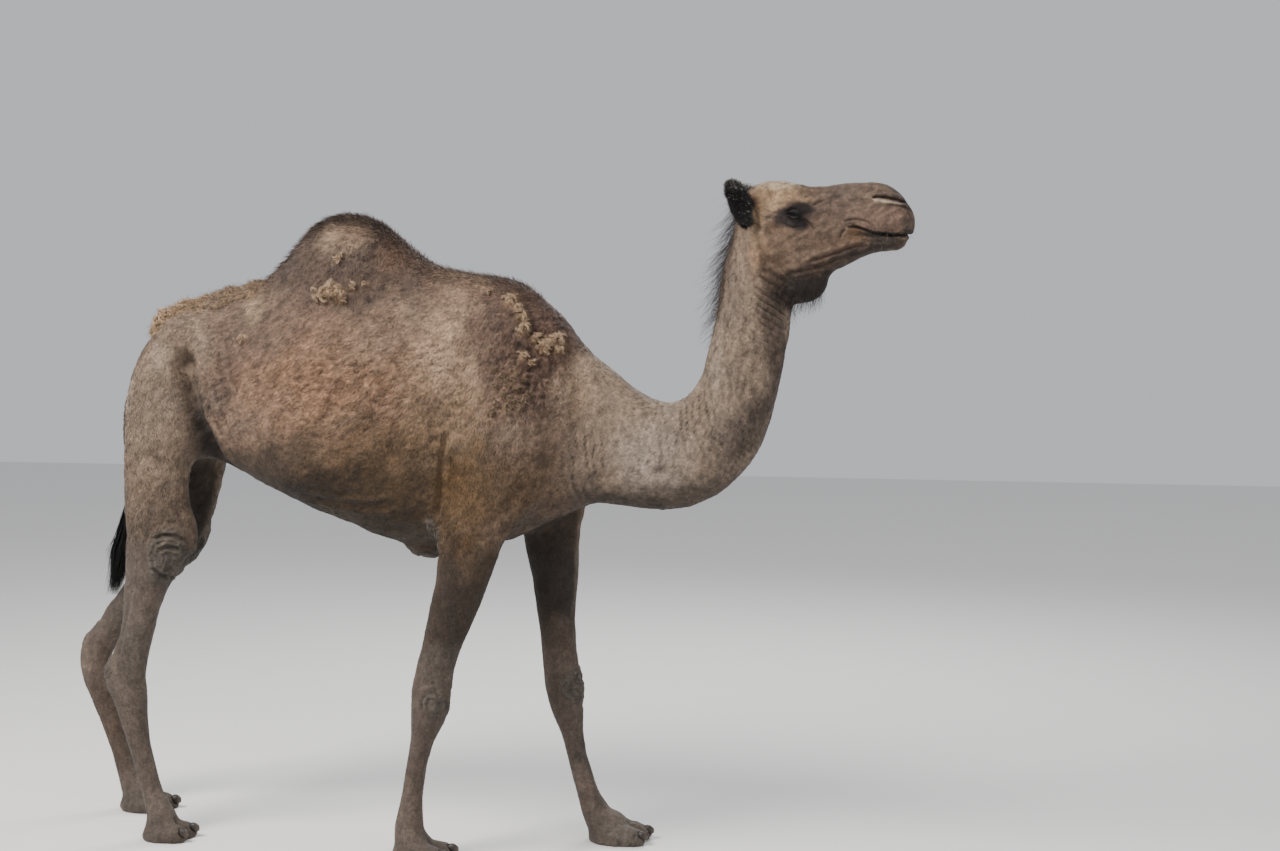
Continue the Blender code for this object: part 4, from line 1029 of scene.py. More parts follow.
def coat_colour_and_shade(p, n):
    """The coat's colour at each point, with painted shade in its creases, folds and undersides, the same for
    the skin and the tufts.
    """
    share = regions(p)
    c = uneven(flecks(patterns(p, share), p, share), p, share)
    # painted shade on downward faces and on the insides of the legs
    c = c * underside_painted_shade(p, n, share)[:, None]
    grey = c.mean(axis=1, keepdims=True)
    richer = RICHER * (1 - 0.28 * share["legs"])[:, None]
    return np.clip((grey + (c - grey) * richer) * DARKER, 0.004, 0.9)


# ---------------------------------------------------------------- materials
def material(name):
    made = bpy.data.materials.new(name)
    made.use_nodes = True
    tree = made.node_tree
    return made, tree, tree.nodes["Principled BSDF"]


def node(tree, kind, **values):
    made = tree.nodes.new(kind)
    for key, value in values.items():
        if key in made.inputs:
            made.inputs[key].default_value = value
        else:
            setattr(made, key, value)
    return made


def noise_node(tree, scale, detail=3.0, rough=0.6):
    where = node(tree, "ShaderNodeTexCoord")
    made = node(tree, "ShaderNodeTexNoise", Scale=scale, Detail=detail, Roughness=rough)
    tree.links.new(where.outputs["Object"], made.inputs["Vector"])
    return made.outputs["Fac"]


def ranged(tree, source, low, high, to_low, to_high):
    made = node(tree, "ShaderNodeMapRange")
    for i, value in ((1, low), (2, high), (3, to_low), (4, to_high)):
        made.inputs[i].default_value = value
    tree.links.new(source, made.inputs[0])
    return made.outputs[0]


def tinted(tree, colour, factor):
    """The colour multiplied by a factor."""
    made = node(tree, "ShaderNodeVectorMath", operation="SCALE")
    tree.links.new(colour, made.inputs[0])
    tree.links.new(factor, made.inputs["Scale"])
    return made.outputs[0]


def bumped(tree, shader, heights):
    """Bumps on bumps: each is a source, its strength and its distance."""
    normal = None
    for source, strength, distance in heights:
        bump = node(tree, "ShaderNodeBump", Strength=strength, Distance=distance)
        tree.links.new(source, bump.inputs["Height"])
        if normal:
            tree.links.new(normal, bump.inputs["Normal"])
        normal = bump.outputs["Normal"]
    tree.links.new(normal, shader.inputs["Normal"])


def painted_material(name, grain, tone, roughness, heights, sheen=0.0, specular=0.3, coat=0.0):
    """Markings from the mesh, with grain in their tone, in the roughness and in the bump."""
    made, tree, shader = material(name)
    marks = node(tree, "ShaderNodeVertexColor", layer_name="Markings").outputs["Color"]
    for scale, low, high in grain:
        factor = ranged(tree, noise_node(tree, scale), 0.3, 0.7, low, high)
        marks = tinted(tree, marks, factor)
    tree.links.new(marks, shader.inputs["Base Color"])
    varied = ranged(tree, noise_node(tree, tone), 0.3, 0.7, *roughness)
    tree.links.new(varied, shader.inputs["Roughness"])
    bumped(tree, shader, [(noise_node(tree, s, 4.0, r), k, d) for s, r, k, d in heights])
    shader.inputs["Specular IOR Level"].default_value = specular
    shader.inputs["Sheen Weight"].default_value = sheen
    shader.inputs["Sheen Roughness"].default_value = 0.5
    shader.inputs["Coat Weight"].default_value = coat
    shader.inputs["Coat Roughness"].default_value = 0.15
    return made


# ---------------------------------------------------------------- unwrap
def leg_line(limb):
    """The middle of a leg, from the body to the ground, read from its own solids."""
    points = np.concatenate([points_of(nodes[f"{limb}_{part}"].data) for part in ("upper", "lower", "foot")])
    line = []
    for z in (0.98, 0.8, 0.62, 0.45, 0.3, 0.15, 0.05):
        slab = points[np.abs(points[:, 2] - z) < 0.09]
        line.append([*(slab[:, :2].min(0) + slab[:, :2].max(0)) / 2, z])
    line[0][2] = 1.02
    line[-1][2] = 0.0
    return line


def chart_lines():
    """A middle line and a typical radius for each part that unrolls as a tube."""
    neck = [(0.44, 1.36), (0.58, 1.28), (0.74, 1.28), (0.86, 1.38), (0.93, 1.56), (0.97, 1.86)]
    lines = [
        ([(-1.15, 0, 1.47), (0.48, 0, 1.42)], 0.3),
        ([(x, 0, z) for x, z in neck], 0.12),
        ([(0.95, 0, 1.96), (1.2, 0, 1.96), (1.47, 0, 1.97)], 0.075),
        ([(-1.13, 0, 1.62), (-1.17, 0, 1.35), (-1.18, 0, 1.03)], 0.03),
    ]
    for side in (-1, 1):
        lines.append(([(0.97, 0.076 * side, 1.975), (0.914, 0.104 * side, 2.115)], 0.028))
    for limb in LIMBS:
        lines.append((leg_line(limb), 0.062))
    return [(np.array(line, float), radius) for line, radius in lines]


def unroll(p, line, radius):
    """How far round and how far along a tube each point lies, in metres."""
    steps = np.diff(line, axis=0)
    lengths = np.linalg.norm(steps, axis=1)
    before = np.concatenate([[0], np.cumsum(lengths)])
    best = np.full(len(p), 1e9)
    around, along = np.zeros(len(p)), np.zeros(len(p))
    for i, length in enumerate(lengths):
        way = steps[i] / length
        side = np.array([0.0, 1.0, 0.0]) - way * way[1]
        side = side / np.linalg.norm(side)
        up = np.cross(way, side)
        reach = (p - line[i]) @ way
        off = p - line[i] - np.clip(reach, 0, length)[:, None] * way
        d = np.linalg.norm(off, axis=1)
        out = np.hypot(off @ side, off @ up)
        first, last = i == 0, i == len(lengths) - 1
        reach = np.clip(reach, -1e9 if first else 0, 1e9 if last else length)
        near = d < best
        past = np.where(reach > length, 1.0, 0) - np.where(reach < 0, 1.0, 0)
        capped = reach + past * np.maximum(0, radius - out)
        best[near], along[near] = d[near], (before[i] + capped)[near]
        around[near] = np.arctan2(off @ side, off @ up)[near]
    return best, around, along


def unwrap(mesh):
    """One place on a flat sheet for each corner of the skin: every part is unrolled and laid side by side."""
    p, corners = points_of(mesh), corners_of(mesh)
    starts = read(mesh.polygons, "loop_start")
    sizes = np.diff(np.append(starts, len(corners)))
    lines = chart_lines()
    rolled = [unroll(p, line, radius) for line, radius in lines]
    chart = np.argmin([found[0] / radius for found, (_, radius) in zip(rolled, lines)], axis=0)
    of_face = np.repeat(chart[corners[starts]], sizes)
    uv = np.zeros((len(corners), 2))
    boxes = []
    for k, (_, radius) in enumerate(lines):
        mine = of_face == k
        turn, along = rolled[k][1][corners], rolled[k][2][corners]
        high = np.maximum.reduceat(turn, starts)
        low = np.minimum.reduceat(turn, starts)
        wraps = np.repeat(high - low > math.pi, sizes) & (turn < 0)
        flat = np.stack([(turn + 2 * math.pi * wraps) * radius, along], axis=1)
        corner = flat[mine].min(axis=0)
        uv[mine] = flat[mine] - corner
        boxes.append(uv[mine].max(axis=0))
    gap, x, y, row, width = 0.02, 0.0, 0.0, 0.0, 3.2
    for k in sorted(range(len(boxes)), key=lambda k: -boxes[k][1]):
        w, h = boxes[k]
        if x + w > width:
            x, y, row = 0.0, y + row + gap, 0.0
        uv[of_face == k] += (x, y)
        x, row = x + w + gap, max(row, h)
    return 0.005 + 0.99 * uv / max(width, y + row)


# ---------------------------------------------------------------- the lie of the coat
# where, x, |y|, z, and which way the hair runs there
LIE = [
    (1.46, 0.0, 1.98, -0.8, 0.5, 0.4),
    (1.38, 0.04, 2.02, -1.0, 0.1, 0.1),
    (1.25, 0.05, 1.98, -1.0, 0.0, 0.0),
    (1.25, 0.0, 2.1, -1.0, 0.0, 0.0),
    (1.12, 0.08, 1.94, -1.0, 0.0, -0.25),
    (1.05, 0.08, 2.06, -1.0, 0.0, 0.15),
    (1.1, 0.0, 1.8, -0.8, 0.0, -0.6),
    (1.0, 0.07, 1.93, -0.6, 0.0, -0.8),
    (0.96, 0.08, 1.82, -0.2, 0.0, -1.0),
    (0.95, 0.08, 1.62, -0.1, 0.0, -1.0),
    (0.9, 0.09, 1.44, -0.5, 0.0, -0.9),
    (0.78, 0.1, 1.3, -0.9, 0.0, -0.4),
    (0.62, 0.11, 1.27, -1.0, 0.0, -0.2),
    (0.44, 0.13, 1.34, -0.8, 0.0, -0.6),
    (0.3, 0.17, 1.5, -0.5, 0.0, -0.9),
    (0.22, 0.2, 1.7, -0.5, 0.0, -0.9),
    (0.12, 0.03, 1.86, -1.0, 0.3, -0.1),
    (-0.1, 0.2, 1.62, -0.8, 0.0, -0.6),
    (-0.3, 0.16, 1.9, -0.5, 0.0, -0.9),
    (-0.35, 0.0, 2.05, -1.0, 0.2, 0.0),
    (-0.55, 0.08, 1.95, -0.9, 0.0, -0.5),
    (-0.35, 0.3, 1.45, -0.9, 0.0, -0.5),
    (-0.6, 0.26, 1.45, -0.8, 0.0, -0.6),
    (-0.8, 0.2, 1.62, -0.7, 0.0, -0.7),
    (-0.85, 0.03, 1.8, -1.0, 0.3, -0.2),
    (-0.3, 0.12, 1.03, -1.0, -0.2, -0.1),
    (-0.1, 0.2, 1.15, -0.8, 0.0, -0.6),
    (0.1, 0.2, 1.25, -0.2, 0.0, -1.0),
    (-1.06, 0.12, 1.55, -0.3, 0.0, -1.0),
    (-0.98, 0.2, 1.25, -0.2, 0.0, -1.0),
    (-0.92, 0.19, 1.0, -0.2, 0.0, -1.0),
    (-1.05, 0.16, 0.7, -0.3, 0.0, -1.0),
    (-1.1, 0.15, 0.3, 0.0, 0.0, -1.0),
    (-1.4, 0.16, 0.65, -0.2, 0.0, -1.0),
    (-1.3, 0.16, 0.3, 0.2, 0.0, -1.0),
    (0.1, 0.18, 0.9, -0.1, 0.0, -1.0),
    (0.05, 0.18, 0.6, -0.2, 0.0, -1.0),
    (-0.08, 0.18, 0.2, -0.2, 0.0, -1.0),
    (0.3, 0.18, 0.7, 0.1, 0.0, -1.0),
    (0.42, 0.18, 0.25, 0.3, 0.0, -1.0),
    (-1.15, 0.0, 1.45, -0.1, 0.0, -1.0),
    (-1.18, 0.0, 1.1, 0.0, 0.0, -1.0),
]
LIE_REACH = 0.11


def lie_of_coat(p, n):
    """The way the hair runs along the skin at each point."""
    sides = both_sides(p)
    flip = np.stack([np.ones(len(p)), np.where(p[:, 1] < 0, -1.0, 1.0), np.ones(len(p))], axis=1)
    total = np.zeros((len(p), 3))
    for x, y, z, dx, dy, dz in LIE:
        square = ((sides - (x, y, z)) ** 2).sum(axis=1)
        share = 1 / (square + (0.35 * LIE_REACH) ** 2) ** 2
        total += share[:, None] * unit(np.array([[dx, dy, dz]]))
    total = unit(total) * flip
    ear = regions(p)["ear"][:, None]
    total = total * (1 - ear) + ear * np.array([-0.37, 0.18, 0.91]) * flip
    flat = total - n * (total * n).sum(axis=1, keepdims=True)
    return unit(flat)


class Ground:
    """The finished skin, ready to be read at any scattered root."""

    def __init__(self, mesh):
        self.points, self.triangles = points_of(mesh), triangles_of(mesh)
        self.normals = normals_of(self.points, self.triangles)
        loops = read(mesh.loop_triangles, "loops", 3)
        self.uv = read(mesh.uv_layers["OFBake"].data, "uv", 2, np.float32)[loops].astype(float)
        a, b, c = (self.points[self.triangles[:, k]] for k in range(3))
        self.area = np.linalg.norm(np.cross(b - a, c - a), axis=1) / 2
        self.lie = lie_of_coat(self.points, self.normals)
        self.colours = coat_colour_and_shade(self.points, self.normals)

    def scatter(self, per_metre, most=None):
        """Roots spread over the skin, so many for each square metre at each of its vertices."""
        wanted = self.area * per_metre[self.triangles].mean(axis=1)
        sums = np.cumsum(wanted)
        count = int(sums[-1] if most is None else min(sums[-1], most))
        picks = np.searchsorted(sums, (np.arange(count) + rng.random(count)) / count * sums[-1])
        picks = np.minimum(picks, len(sums) - 1)
        a, b = rng.random((2, count))
        over = a + b > 1
        a, b = np.where(over, 1 - a, a), np.where(over, 1 - b, b)
        share = np.stack([1 - a - b, a, b], axis=1)[:, :, None]
        mine = self.triangles[picks]
        return dict(
            point=(self.points[mine] * share).sum(1),
            normal=unit((self.normals[mine] * share).sum(1)),
            lie=unit((self.lie[mine] * share).sum(1)),
            colour=(self.colours[mine] * share).sum(1),
            uv=(self.uv[picks] * share).sum(1),
        )


TONE_SPREAD, TIP_TONE = 0.38, 1.12


def shades(colour, points):
    """Each tuft a little lighter, darker, warmer or greyer than the skin below it."""
    count = len(points)
    clump = 0.6 * noise(points, 0.006, 94) + 0.6 * noise(points, 0.013, 95)
    tone = 1 + TONE_SPREAD * (clump + rng.uniform(-1, 1, count))
    warm = rng.uniform(-0.06, 0.06, count)
    return colour * tone[:, None] * np.stack([1 + warm, np.ones(count), 1 - warm], axis=1)


def tuft_mesh(name, roots, length, width, lift, curl):
    """Flat tufts along the coat: a tapering blade each, bent a little, sharing its neighbours' waves."""
    p, n, d = roots["point"], roots["normal"], roots["lie"]
    count = len(p)
    side = np.cross(n, d)
    angle = curl * (0.55 * noise(p, 0.014, 90) + 0.45 * noise(p, 0.045, 91))
    angle = angle + 0.28 * rng.standard_normal(count)
    way = d * np.cos(angle)[:, None] + side * np.sin(angle)[:, None]
    side = np.cross(n, way)
    roll = 0.5 * rng.standard_normal(count)
    flat = side * np.cos(roll)[:, None] + n * np.sin(roll)[:, None]
    rise = lift * (1 + 0.5 * noise(p, 0.01, 92) + 0.35 * rng.standard_normal(count))
    rise = np.clip(rise, 0.02, 1.2)
    size = length * rng.uniform(0.65, 1.3, count)
    bend = side * (0.22 * curl * noise(p, 0.008, 93))[:, None]
    half = flat * (width * rng.uniform(0.7, 1.3, count) / 2)[:, None]
    base = p - n * 0.0012
    middle = p + way * (0.5 * size)[:, None] + n * (0.62 * rise * size)[:, None]
    end = p + (way + bend) * size[:, None] + n * (0.85 * rise * size)[:, None]
    points = np.stack([base - half, base + half, middle + half * 0.85, middle - half * 0.85, end], axis=1)
    first = np.arange(count)[:, None] * 5
    quads = first + np.array([[1, 0, 3, 2]])
    tips = first + np.array([[2, 3, 4]])
    colour = shades(roots["colour"], p)
    steps = np.array([0.84, 0.84, 1.0, 1.0, TIP_TONE])[None, :, None]
    colours = np.clip(colour[:, None, :] * steps, 0.003, 0.95).reshape(-1, 3)
    sideways = 0.22 * rng.standard_normal(count) + 1.3 * curl * noise(p, 0.011, 95)
    forward = 0.18 * rng.standard_normal(count) + 1.3 * curl * noise(p, 0.014, 96)
    tilt = side * sideways[:, None] + way * forward[:, None]
    shading = np.repeat(unit(n + tilt), 5, axis=0)
    obj = new_object(name, points.reshape(-1, 3), [quads, tips])
    add_colours(obj.data, colours)
    local = np.array([(-1, -1), (1, -1), (1, 0.2), (-1, 0.2), (0, 1)]) * PATCH * 0.95
    uv = roots["uv"][:, None, :] + local[None]
    add_uvs(obj.data, uv.reshape(-1, 2)[corners_of(obj.data)])
    obj.data.normals_split_custom_set_from_vertices(shading.astype(np.float32))
    return obj


def ribbon_mesh(name, paths, widths, colours, uv, taper=0.12):
    """Strands of hair as thin ribbons along their paths, (strand, step, xyz)."""
    count, steps, _ = paths.shape
    tangent = np.gradient(paths, axis=1)
    spin = rng.standard_normal((count, 3))
    side = np.cross(tangent, spin[:, None, :])
    side = side / np.maximum(np.linalg.norm(side, axis=2, keepdims=True), 1e-9)
    profile = np.interp(np.linspace(0, 1, steps), [0, 0.15, 0.6, 1], [0.7, 1.0, 0.8, taper])
    half = side * (np.asarray(widths).reshape(-1, 1) * profile[None] / 2)[:, :, None]
    points = np.stack([paths - half, paths + half], axis=2)
    first = (np.arange(count) * steps * 2)[:, None] + 2 * np.arange(steps - 1)[None]
    quads = np.stack([first, first + 1, first + 3, first + 2], axis=2).reshape(-1, 4)
    obj = new_object(name, points.reshape(-1, 3), [quads])
    along = np.linspace(0.85, 1.15, steps)[None, :, None, None]
    painted = colours[:, None, None, :] * along * np.ones((1, 1, 2, 1))
    add_colours(obj.data, np.clip(painted, 0.002, 0.95).reshape(-1, 3))
    u = np.array([-1.0, 1.0])[None, None, :]
    v = np.linspace(-1, 1, steps)[None, :, None]
    local = np.stack([u + 0 * v, v + 0 * u], axis=3) * PATCH * 0.95
    places = (uv[:, None, None, :] + local).reshape(-1, 2)
    add_uvs(obj.data, places[corners_of(obj.data)])
    return obj


def strand_paths(root, way, length, steps, sag, wave, turns=1.0):
    """Paths that start one way, sag under their own weight and wave a little."""
    count = len(root)
    t = np.linspace(0, 1, steps)[None, :, None]
    size = np.asarray(length).reshape(-1, 1, 1)
    paths = root[:, None] + way[:, None] * size * t + np.asarray(sag) * size * t**2
    phase = rng.uniform(0, 2 * math.pi, (count, 1, 3))
    wobble = np.sin(2 * math.pi * turns * t * rng.uniform(0.7, 1.3, (count, 1, 1)) + phase) - np.sin(phase)
    return paths + wave * size * wobble * t


# ---------------------------------------------------------------- the coat
MOST_TUFTS = 65000
# tufts for each square metre, their length, width, rise and curl: on the body, then on each of these regions
COAT_REGIONS = ("neck", "legs", "tail", "head", "ear")
COAT = {
    "many": (52000, 68000, 52000, 90000, 150000, 260000),
    "length": (0.013, 0.0085, 0.008, 0.012, 0.005, 0.011),
    "width": (0.0016, 0.0013, 0.0013, 0.0015, 0.0008, 0.0012),
    "lift": (0.085, 0.085, 0.09, 0.2, 0.1, 0.28),
    "curl": (0.28, 0.22, 0.2, 0.35, 0.22, 0.35),
}


def coat_fields(p):
    """For each point of the skin: tufts for each square metre, their length, width, rise and curl."""
    share = regions(p)
    feet, wool = share["feet"], wool_share(p)
    made = {}
    for key, (body, *others) in COAT.items():
        value = np.full(len(p), float(body))
        for region, target in zip(COAT_REGIONS, others):
            value = value + share[region] * (target - value)
        made[key] = value
    made["length"] *= (1 + 0.3 * wool) * (1 - 0.35 * feet)
    made["width"] *= (1 + 0.15 * wool) * (1 - 0.25 * feet)
    made["curl"] *= 1 + 1.6 * wool
    made["lift"] *= 1 + 0.7 * wool
    bare = np.maximum(pad_share(p), smoothstep(0.02, 0.008, p[:, 2]))
    eye = np.linalg.norm(both_sides(p) - EYE_CENTRE, axis=1)
    lips, _ = line_distance(p[:, [0, 2]], MOUTH)
    slit, _ = line_distance(p[:, [0, 2]], NOSTRIL)
    bare = np.maximum(bare, smoothstep(0.027, 0.021, eye))
    muzzle = (p[:, 0] > 1.25) * (p[:, 2] > 1.9)
    bare = np.maximum(bare, muzzle * smoothstep(0.008, 0.004, np.minimum(lips, slit)))
    made["many"] *= 1 - bare
    near_eye = smoothstep(0.06, 0.03, eye)
    made["length"] *= 1 - 0.4 * near_eye
    return made


def make_coat(ground, material_made):
    """Tufts all over the skin, in pieces small enough for the export."""
    many = coat_fields(ground.points)["many"]
    x, _, z = ground.points.T
    share = regions(ground.points)
    head = (share["head"] + share["ear"]) > 0.5
    low = (z < 0.98) & ~head
    neck = (x > 0.42) & ~head & ~low
    trunk = ~(head | low | neck)
    fore = x > -0.5
    parts = [("head", head), ("legs_fore", low & fore), ("legs_hind", low & ~fore), ("neck", neck)]
    cuts = (-9.0, -0.72, -0.36, -0.02, 9.0)
    for k, label in enumerate(("rump", "loin", "flank", "shoulder")):
        parts.append((label, trunk & (x > cuts[k]) & (x <= cuts[k + 1])))
    for label, where in parts:
        roots = ground.scatter(many * where, most=MOST_TUFTS)
        at = coat_fields(roots["point"])
        obj = tuft_mesh("coat_" + label, roots, at["length"], at["width"], at["lift"], at["curl"])
        place(obj, "coat", material_made)


MANE, BEARD, WHISKER = (46, 38, 36), (34, 28, 26), (90, 78, 70)
EAR_DARK, EAR_GREY = (24, 21, 22), (196, 190, 184)
# single hairs: roots for each square metre, shortest and longest, width, how far they start out along the
# normal and the lie, a push aside, how much they stray, steps, sag, wave, colour and its darkest and
# lightest share
HAIR = {
    "mane": (40000, 0.032, 0.107, 0.0006, 0.8, 0, (-0.1, 0, -0.9), 0.3, 6, -0.3, 0.08, MANE, 0.7, 1.8),
    "crest_hair": (60000, 0.014, 0.03, 0.0012, 0.55, 0.75, (0, 0, 0), 0.22, 4, -0.15, 0.06, None, 0.55, 1.15),
    "beard": (26000, 0.018, 0.045, 0.0008, 0.8, 0.5, (0.1, 0, -0.5), 0.3, 5, -0.3, 0.1, BEARD, 0.6, 2.0),
    "whiskers": (4200, 0.008, 0.024, 0.0005, 1.0, 0, (0, 0, -0.4), 0.25, 4, -0.3, 0.04, WHISKER, 0.4, 2.2),
    "ear_hair": (420000, 0.006, 0.015, 0.001, 0.8, 0.8, (0, 0, 0), 0.3, 4, 0, 0.08, EAR_DARK, 0.5, 1.6),
}


def grow(name, roots, size, width, out, along, push, stray, steps, sag, wave, tone, material_made, turns=1.0):
    """A piece of single hairs that start out from the skin and along its lie, each straying a little."""
    way = out * roots["normal"] + along * roots["lie"] + np.array(push)
    way = unit(way + stray * rng.standard_normal((len(size), 3)))
    paths = strand_paths(roots["point"] - 0.001 * roots["normal"], way, size, steps, (0, 0, sag), wave, turns)
    made = ribbon_mesh(name, paths, np.full(len(size), width), tone, roots["uv"])
    place(made, "ear" if name == "ear_hair" else "coat", material_made)


def make_long_hair(ground, material_made):
    """Mane, crest, beard, whiskers and the black hair of the ears, grey at the rim."""
    n, (x, y, z) = ground.normals, ground.points.T
    nape = (x > 0.8) & (x < 1.0) & (z > 1.6) & (n[:, 0] < -0.35) & (np.abs(y) < 0.04)
    crest = (x > -0.8) & (x < 0.36) & (z > 1.76) & (n[:, 2] > 0.45)
    where = {
        "mane": nape * smoothstep(1.58, 1.84, z),
        "crest_hair": crest * (0.45 + 0.9 * smoothstep(1.9, 2.02, z)) * smoothstep(0.1, 0.04, np.abs(y)),
        "beard": (x > 1.02) & (x < 1.18) & (z < 1.84) & (z > 1.7) & (n[:, 2] < -0.2),
        "whiskers": (x > 1.33) & (z > 1.9) & (z < 2.0) & (np.abs(z - 1.947) < 0.045),
        "ear_hair": regions(ground.points)["black"] * (0.35 + 0.65 * (np.abs(n[:, 1]) < 0.75)),
    }
    for name, (many, short, long, width, *shape, colour, dark, light) in HAIR.items():
        roots = ground.scatter(where[name] * float(many))
        height = roots["point"][:, 2]
        size = rng.uniform(short, long, len(height))
        if name == "mane":
            size *= smoothstep(1.5, 1.8, height)
        base = roots["colour"] if colour is None else linear(*colour)
        tone = base * rng.uniform(dark, light, (len(size), 1))
        if name == "ear_hair":
            rim = smoothstep(2.085, 2.105, height + 0.01 * rng.standard_normal(len(size)))
            grey = np.where(rng.random(len(size)) < 0.035, 1.0, 0.8 * rim)[:, None]
            tone = tone + grey * (linear(*EAR_GREY) - tone)
        grow(name, roots, size, width, *shape, tone, material_made)


TUFT_BLACK = (15, 14, 14)


def tail_hair(ground, material_made):
    """The tail's tuft: long black strands from the end of the dock."""
    solid = points_of(nodes["tail_tuft"].data)
    heights = np.linspace(solid[:, 2].max() + 0.05, solid[:, 2].min() + 0.004, 9)
    middle = []
    for z in heights:
        slab = solid[np.abs(solid[:, 2] - min(z, solid[:, 2].max())) < 0.03]
        middle.append([*(slab[:, :2].min(0) + slab[:, :2].max(0)) / 2, z])
    middle = np.array(middle)
    half = np.interp(np.linspace(0, 1, 9), [0, 0.25, 0.55, 0.85, 1], [0.01, 0.024, 0.028, 0.018, 0.006])
    count, steps = 2400, 11
    turn = rng.uniform(0, 2 * math.pi, count)
    reach = np.sqrt(rng.uniform(0.02, 1, count))
    start, stop = rng.uniform(-0.02, 0.42, count), rng.uniform(0.5, 1.0, count)
    t = start[:, None] + (stop - start)[:, None] * np.linspace(0, 1, steps)[None]
    line = np.stack([np.interp(t * 8, np.arange(9), middle[:, k]) for k in range(3)], axis=2)
    wide = np.interp(t * 8, np.arange(9), half) * reach[:, None]
    wide = wide * (0.55 + 0.45 * smoothstep(0, 0.35, np.linspace(0, 1, steps)))[None]
    line[:, :, 0] += wide * np.cos(turn)[:, None] * 1.25
    line[:, :, 1] += wide * np.sin(turn)[:, None]
    late = np.linspace(0, 1, steps)[None] ** 1.5
    line[:, :, 0] += (0.007 * np.sin(6 * t + turn[:, None]) + 0.009 * rng.standard_normal((count, 1))) * late
    line[:, :, 1] += 0.008 * rng.standard_normal((count, 1)) * late
    colour = linear(*TUFT_BLACK) * rng.uniform(0.5, 1.7, (count, 1))
    uv = np.tile(ground.scatter(regions(ground.points)["tail"] * 3000.0)["uv"][:1], (count, 1))
    obj = ribbon_mesh("tail_hair", line, np.full(count, 0.0014), colour, uv)
    place(obj, "tail_hair", material_made, "tail_tuft")


LOCK_TAN, FELT_TAN, FELT_GREY = (190, 163, 134), (172, 144, 112), (150, 130, 112)


def lock_paths(centre, normal, lie, radius, up, count):
    """Curled locks heaped on one spot: each a bundle of fibres that share one bent path."""
    side = np.cross(normal, lie)
    fibres, steps = 16, 8
    found = []
    for _ in range(count):
        offset = rng.normal(0, 0.42, 2) * radius
        heading, size = rng.uniform(0, 2 * math.pi), radius * rng.uniform(0.7, 1.3)
        turning = rng.uniform(1.2, 4.2) * rng.choice([-1, 1])
        t = np.linspace(0, 1, steps)
        angles = heading + turning * t
        walk = np.cumsum(np.stack([np.cos(angles), np.sin(angles)], 1), axis=0) * size * 1.6 / steps
        walk = walk - walk.mean(axis=0) + offset
        high = up * (0.35 + 0.75 * np.sin(math.pi * t) * rng.uniform(0.5, 1.1)) + 0.002
        core = centre + walk[:, :1] * lie + walk[:, 1:] * side + high[:, None] * normal
        thick = radius * 0.34
        spin = rng.uniform(0, 2 * math.pi, fibres)[:, None] + 2.5 * t[None]
        out = thick * np.sqrt(rng.uniform(0.1, 1, fibres))[:, None] * (1 - 0.45 * t[None] ** 2)
        across = (np.cos(spin) * out)[:, :, None] * side + (np.sin(spin) * out)[:, :, None] * normal
        frizz = rng.standard_normal((fibres, steps, 3)) * (0.085 * radius)
        found.append(core[None] + across + frizz)
    return np.concatenate(found)


def wool_locks(ground, material_made):
    """Tan wool that the moult has left, curled into locks on the shoulder and hump."""
    paths, uv, tones = [], [], []
    tan = linear(*LOCK_TAN)
    p = ground.points
    for x, side, z, radius, up, count in MATS:
        mine = np.flatnonzero(p[:, 1] * side > 0.04)
        near = mine[np.argmin(np.hypot(p[mine, 0] - x, p[mine, 2] - z))]
        base = p[near] - ground.normals[near] * up * 0.6
        made = lock_paths(base, ground.normals[near], ground.lie[near], radius, up, count)
        paths.append(made)
        dark = 0.42 if x > 0 and z < 1.56 else 1.0
        tones.append(tan * dark * rng.uniform(0.55, 1.2, (len(made), 1)))
        uv.append(np.tile(uv_near(ground, near), (len(made), 1)))
    paths, tones, uv = np.concatenate(paths), np.concatenate(tones), np.concatenate(uv)
    locks = ribbon_mesh("wool_locks", paths, np.full(len(paths), 0.0011), tones, uv, 0.5)
    place(locks, "coat", material_made)


def rump_wool(ground, material_made):
    """Tan wool felted into a mat on the rump, greyer towards its front."""
    p = ground.points
    where = smoothstep(0.054, 0.038, rump_edge(p)) * smoothstep(0.15, 0.11, np.abs(p[:, 1] + 0.02))
    roots = ground.scatter(where * (ground.normals[:, 2] > 0.1) * 80000.0)
    q = roots["point"]
    size = rng.uniform(0.009, 0.026, len(q))
    grey = smoothstep(-0.92, -0.8, q[:, 0] + 0.04 * noise(q, 0.03, 7))[:, None]
    tone = linear(*FELT_TAN) * (1 - grey) + linear(*FELT_GREY) * grey
    tone = tone * (rng.uniform(0.5, 1.2, len(q)) * (1 + 0.35 * noise(q, 0.018, 8)))[:, None]
    grow("rump_wool", roots, size, 0.0014, 0.3, 1.0, (0, 0, 0), 0.55, 5, -0.1, 0.28, tone, material_made, 1.6)


def uv_near(ground, vertex):
    """A place in the map on a face that has this vertex."""
    face = np.flatnonzero((ground.triangles == vertex).any(axis=1))[0]
    return ground.uv[face].mean(axis=0)


# ---------------------------------------------------------------- eyes, lashes and nails
CORNEA = 0.0012
IRIS, EYE_WHITE, PUPIL = (40, 26, 17), (50, 38, 32), (6, 6, 9)


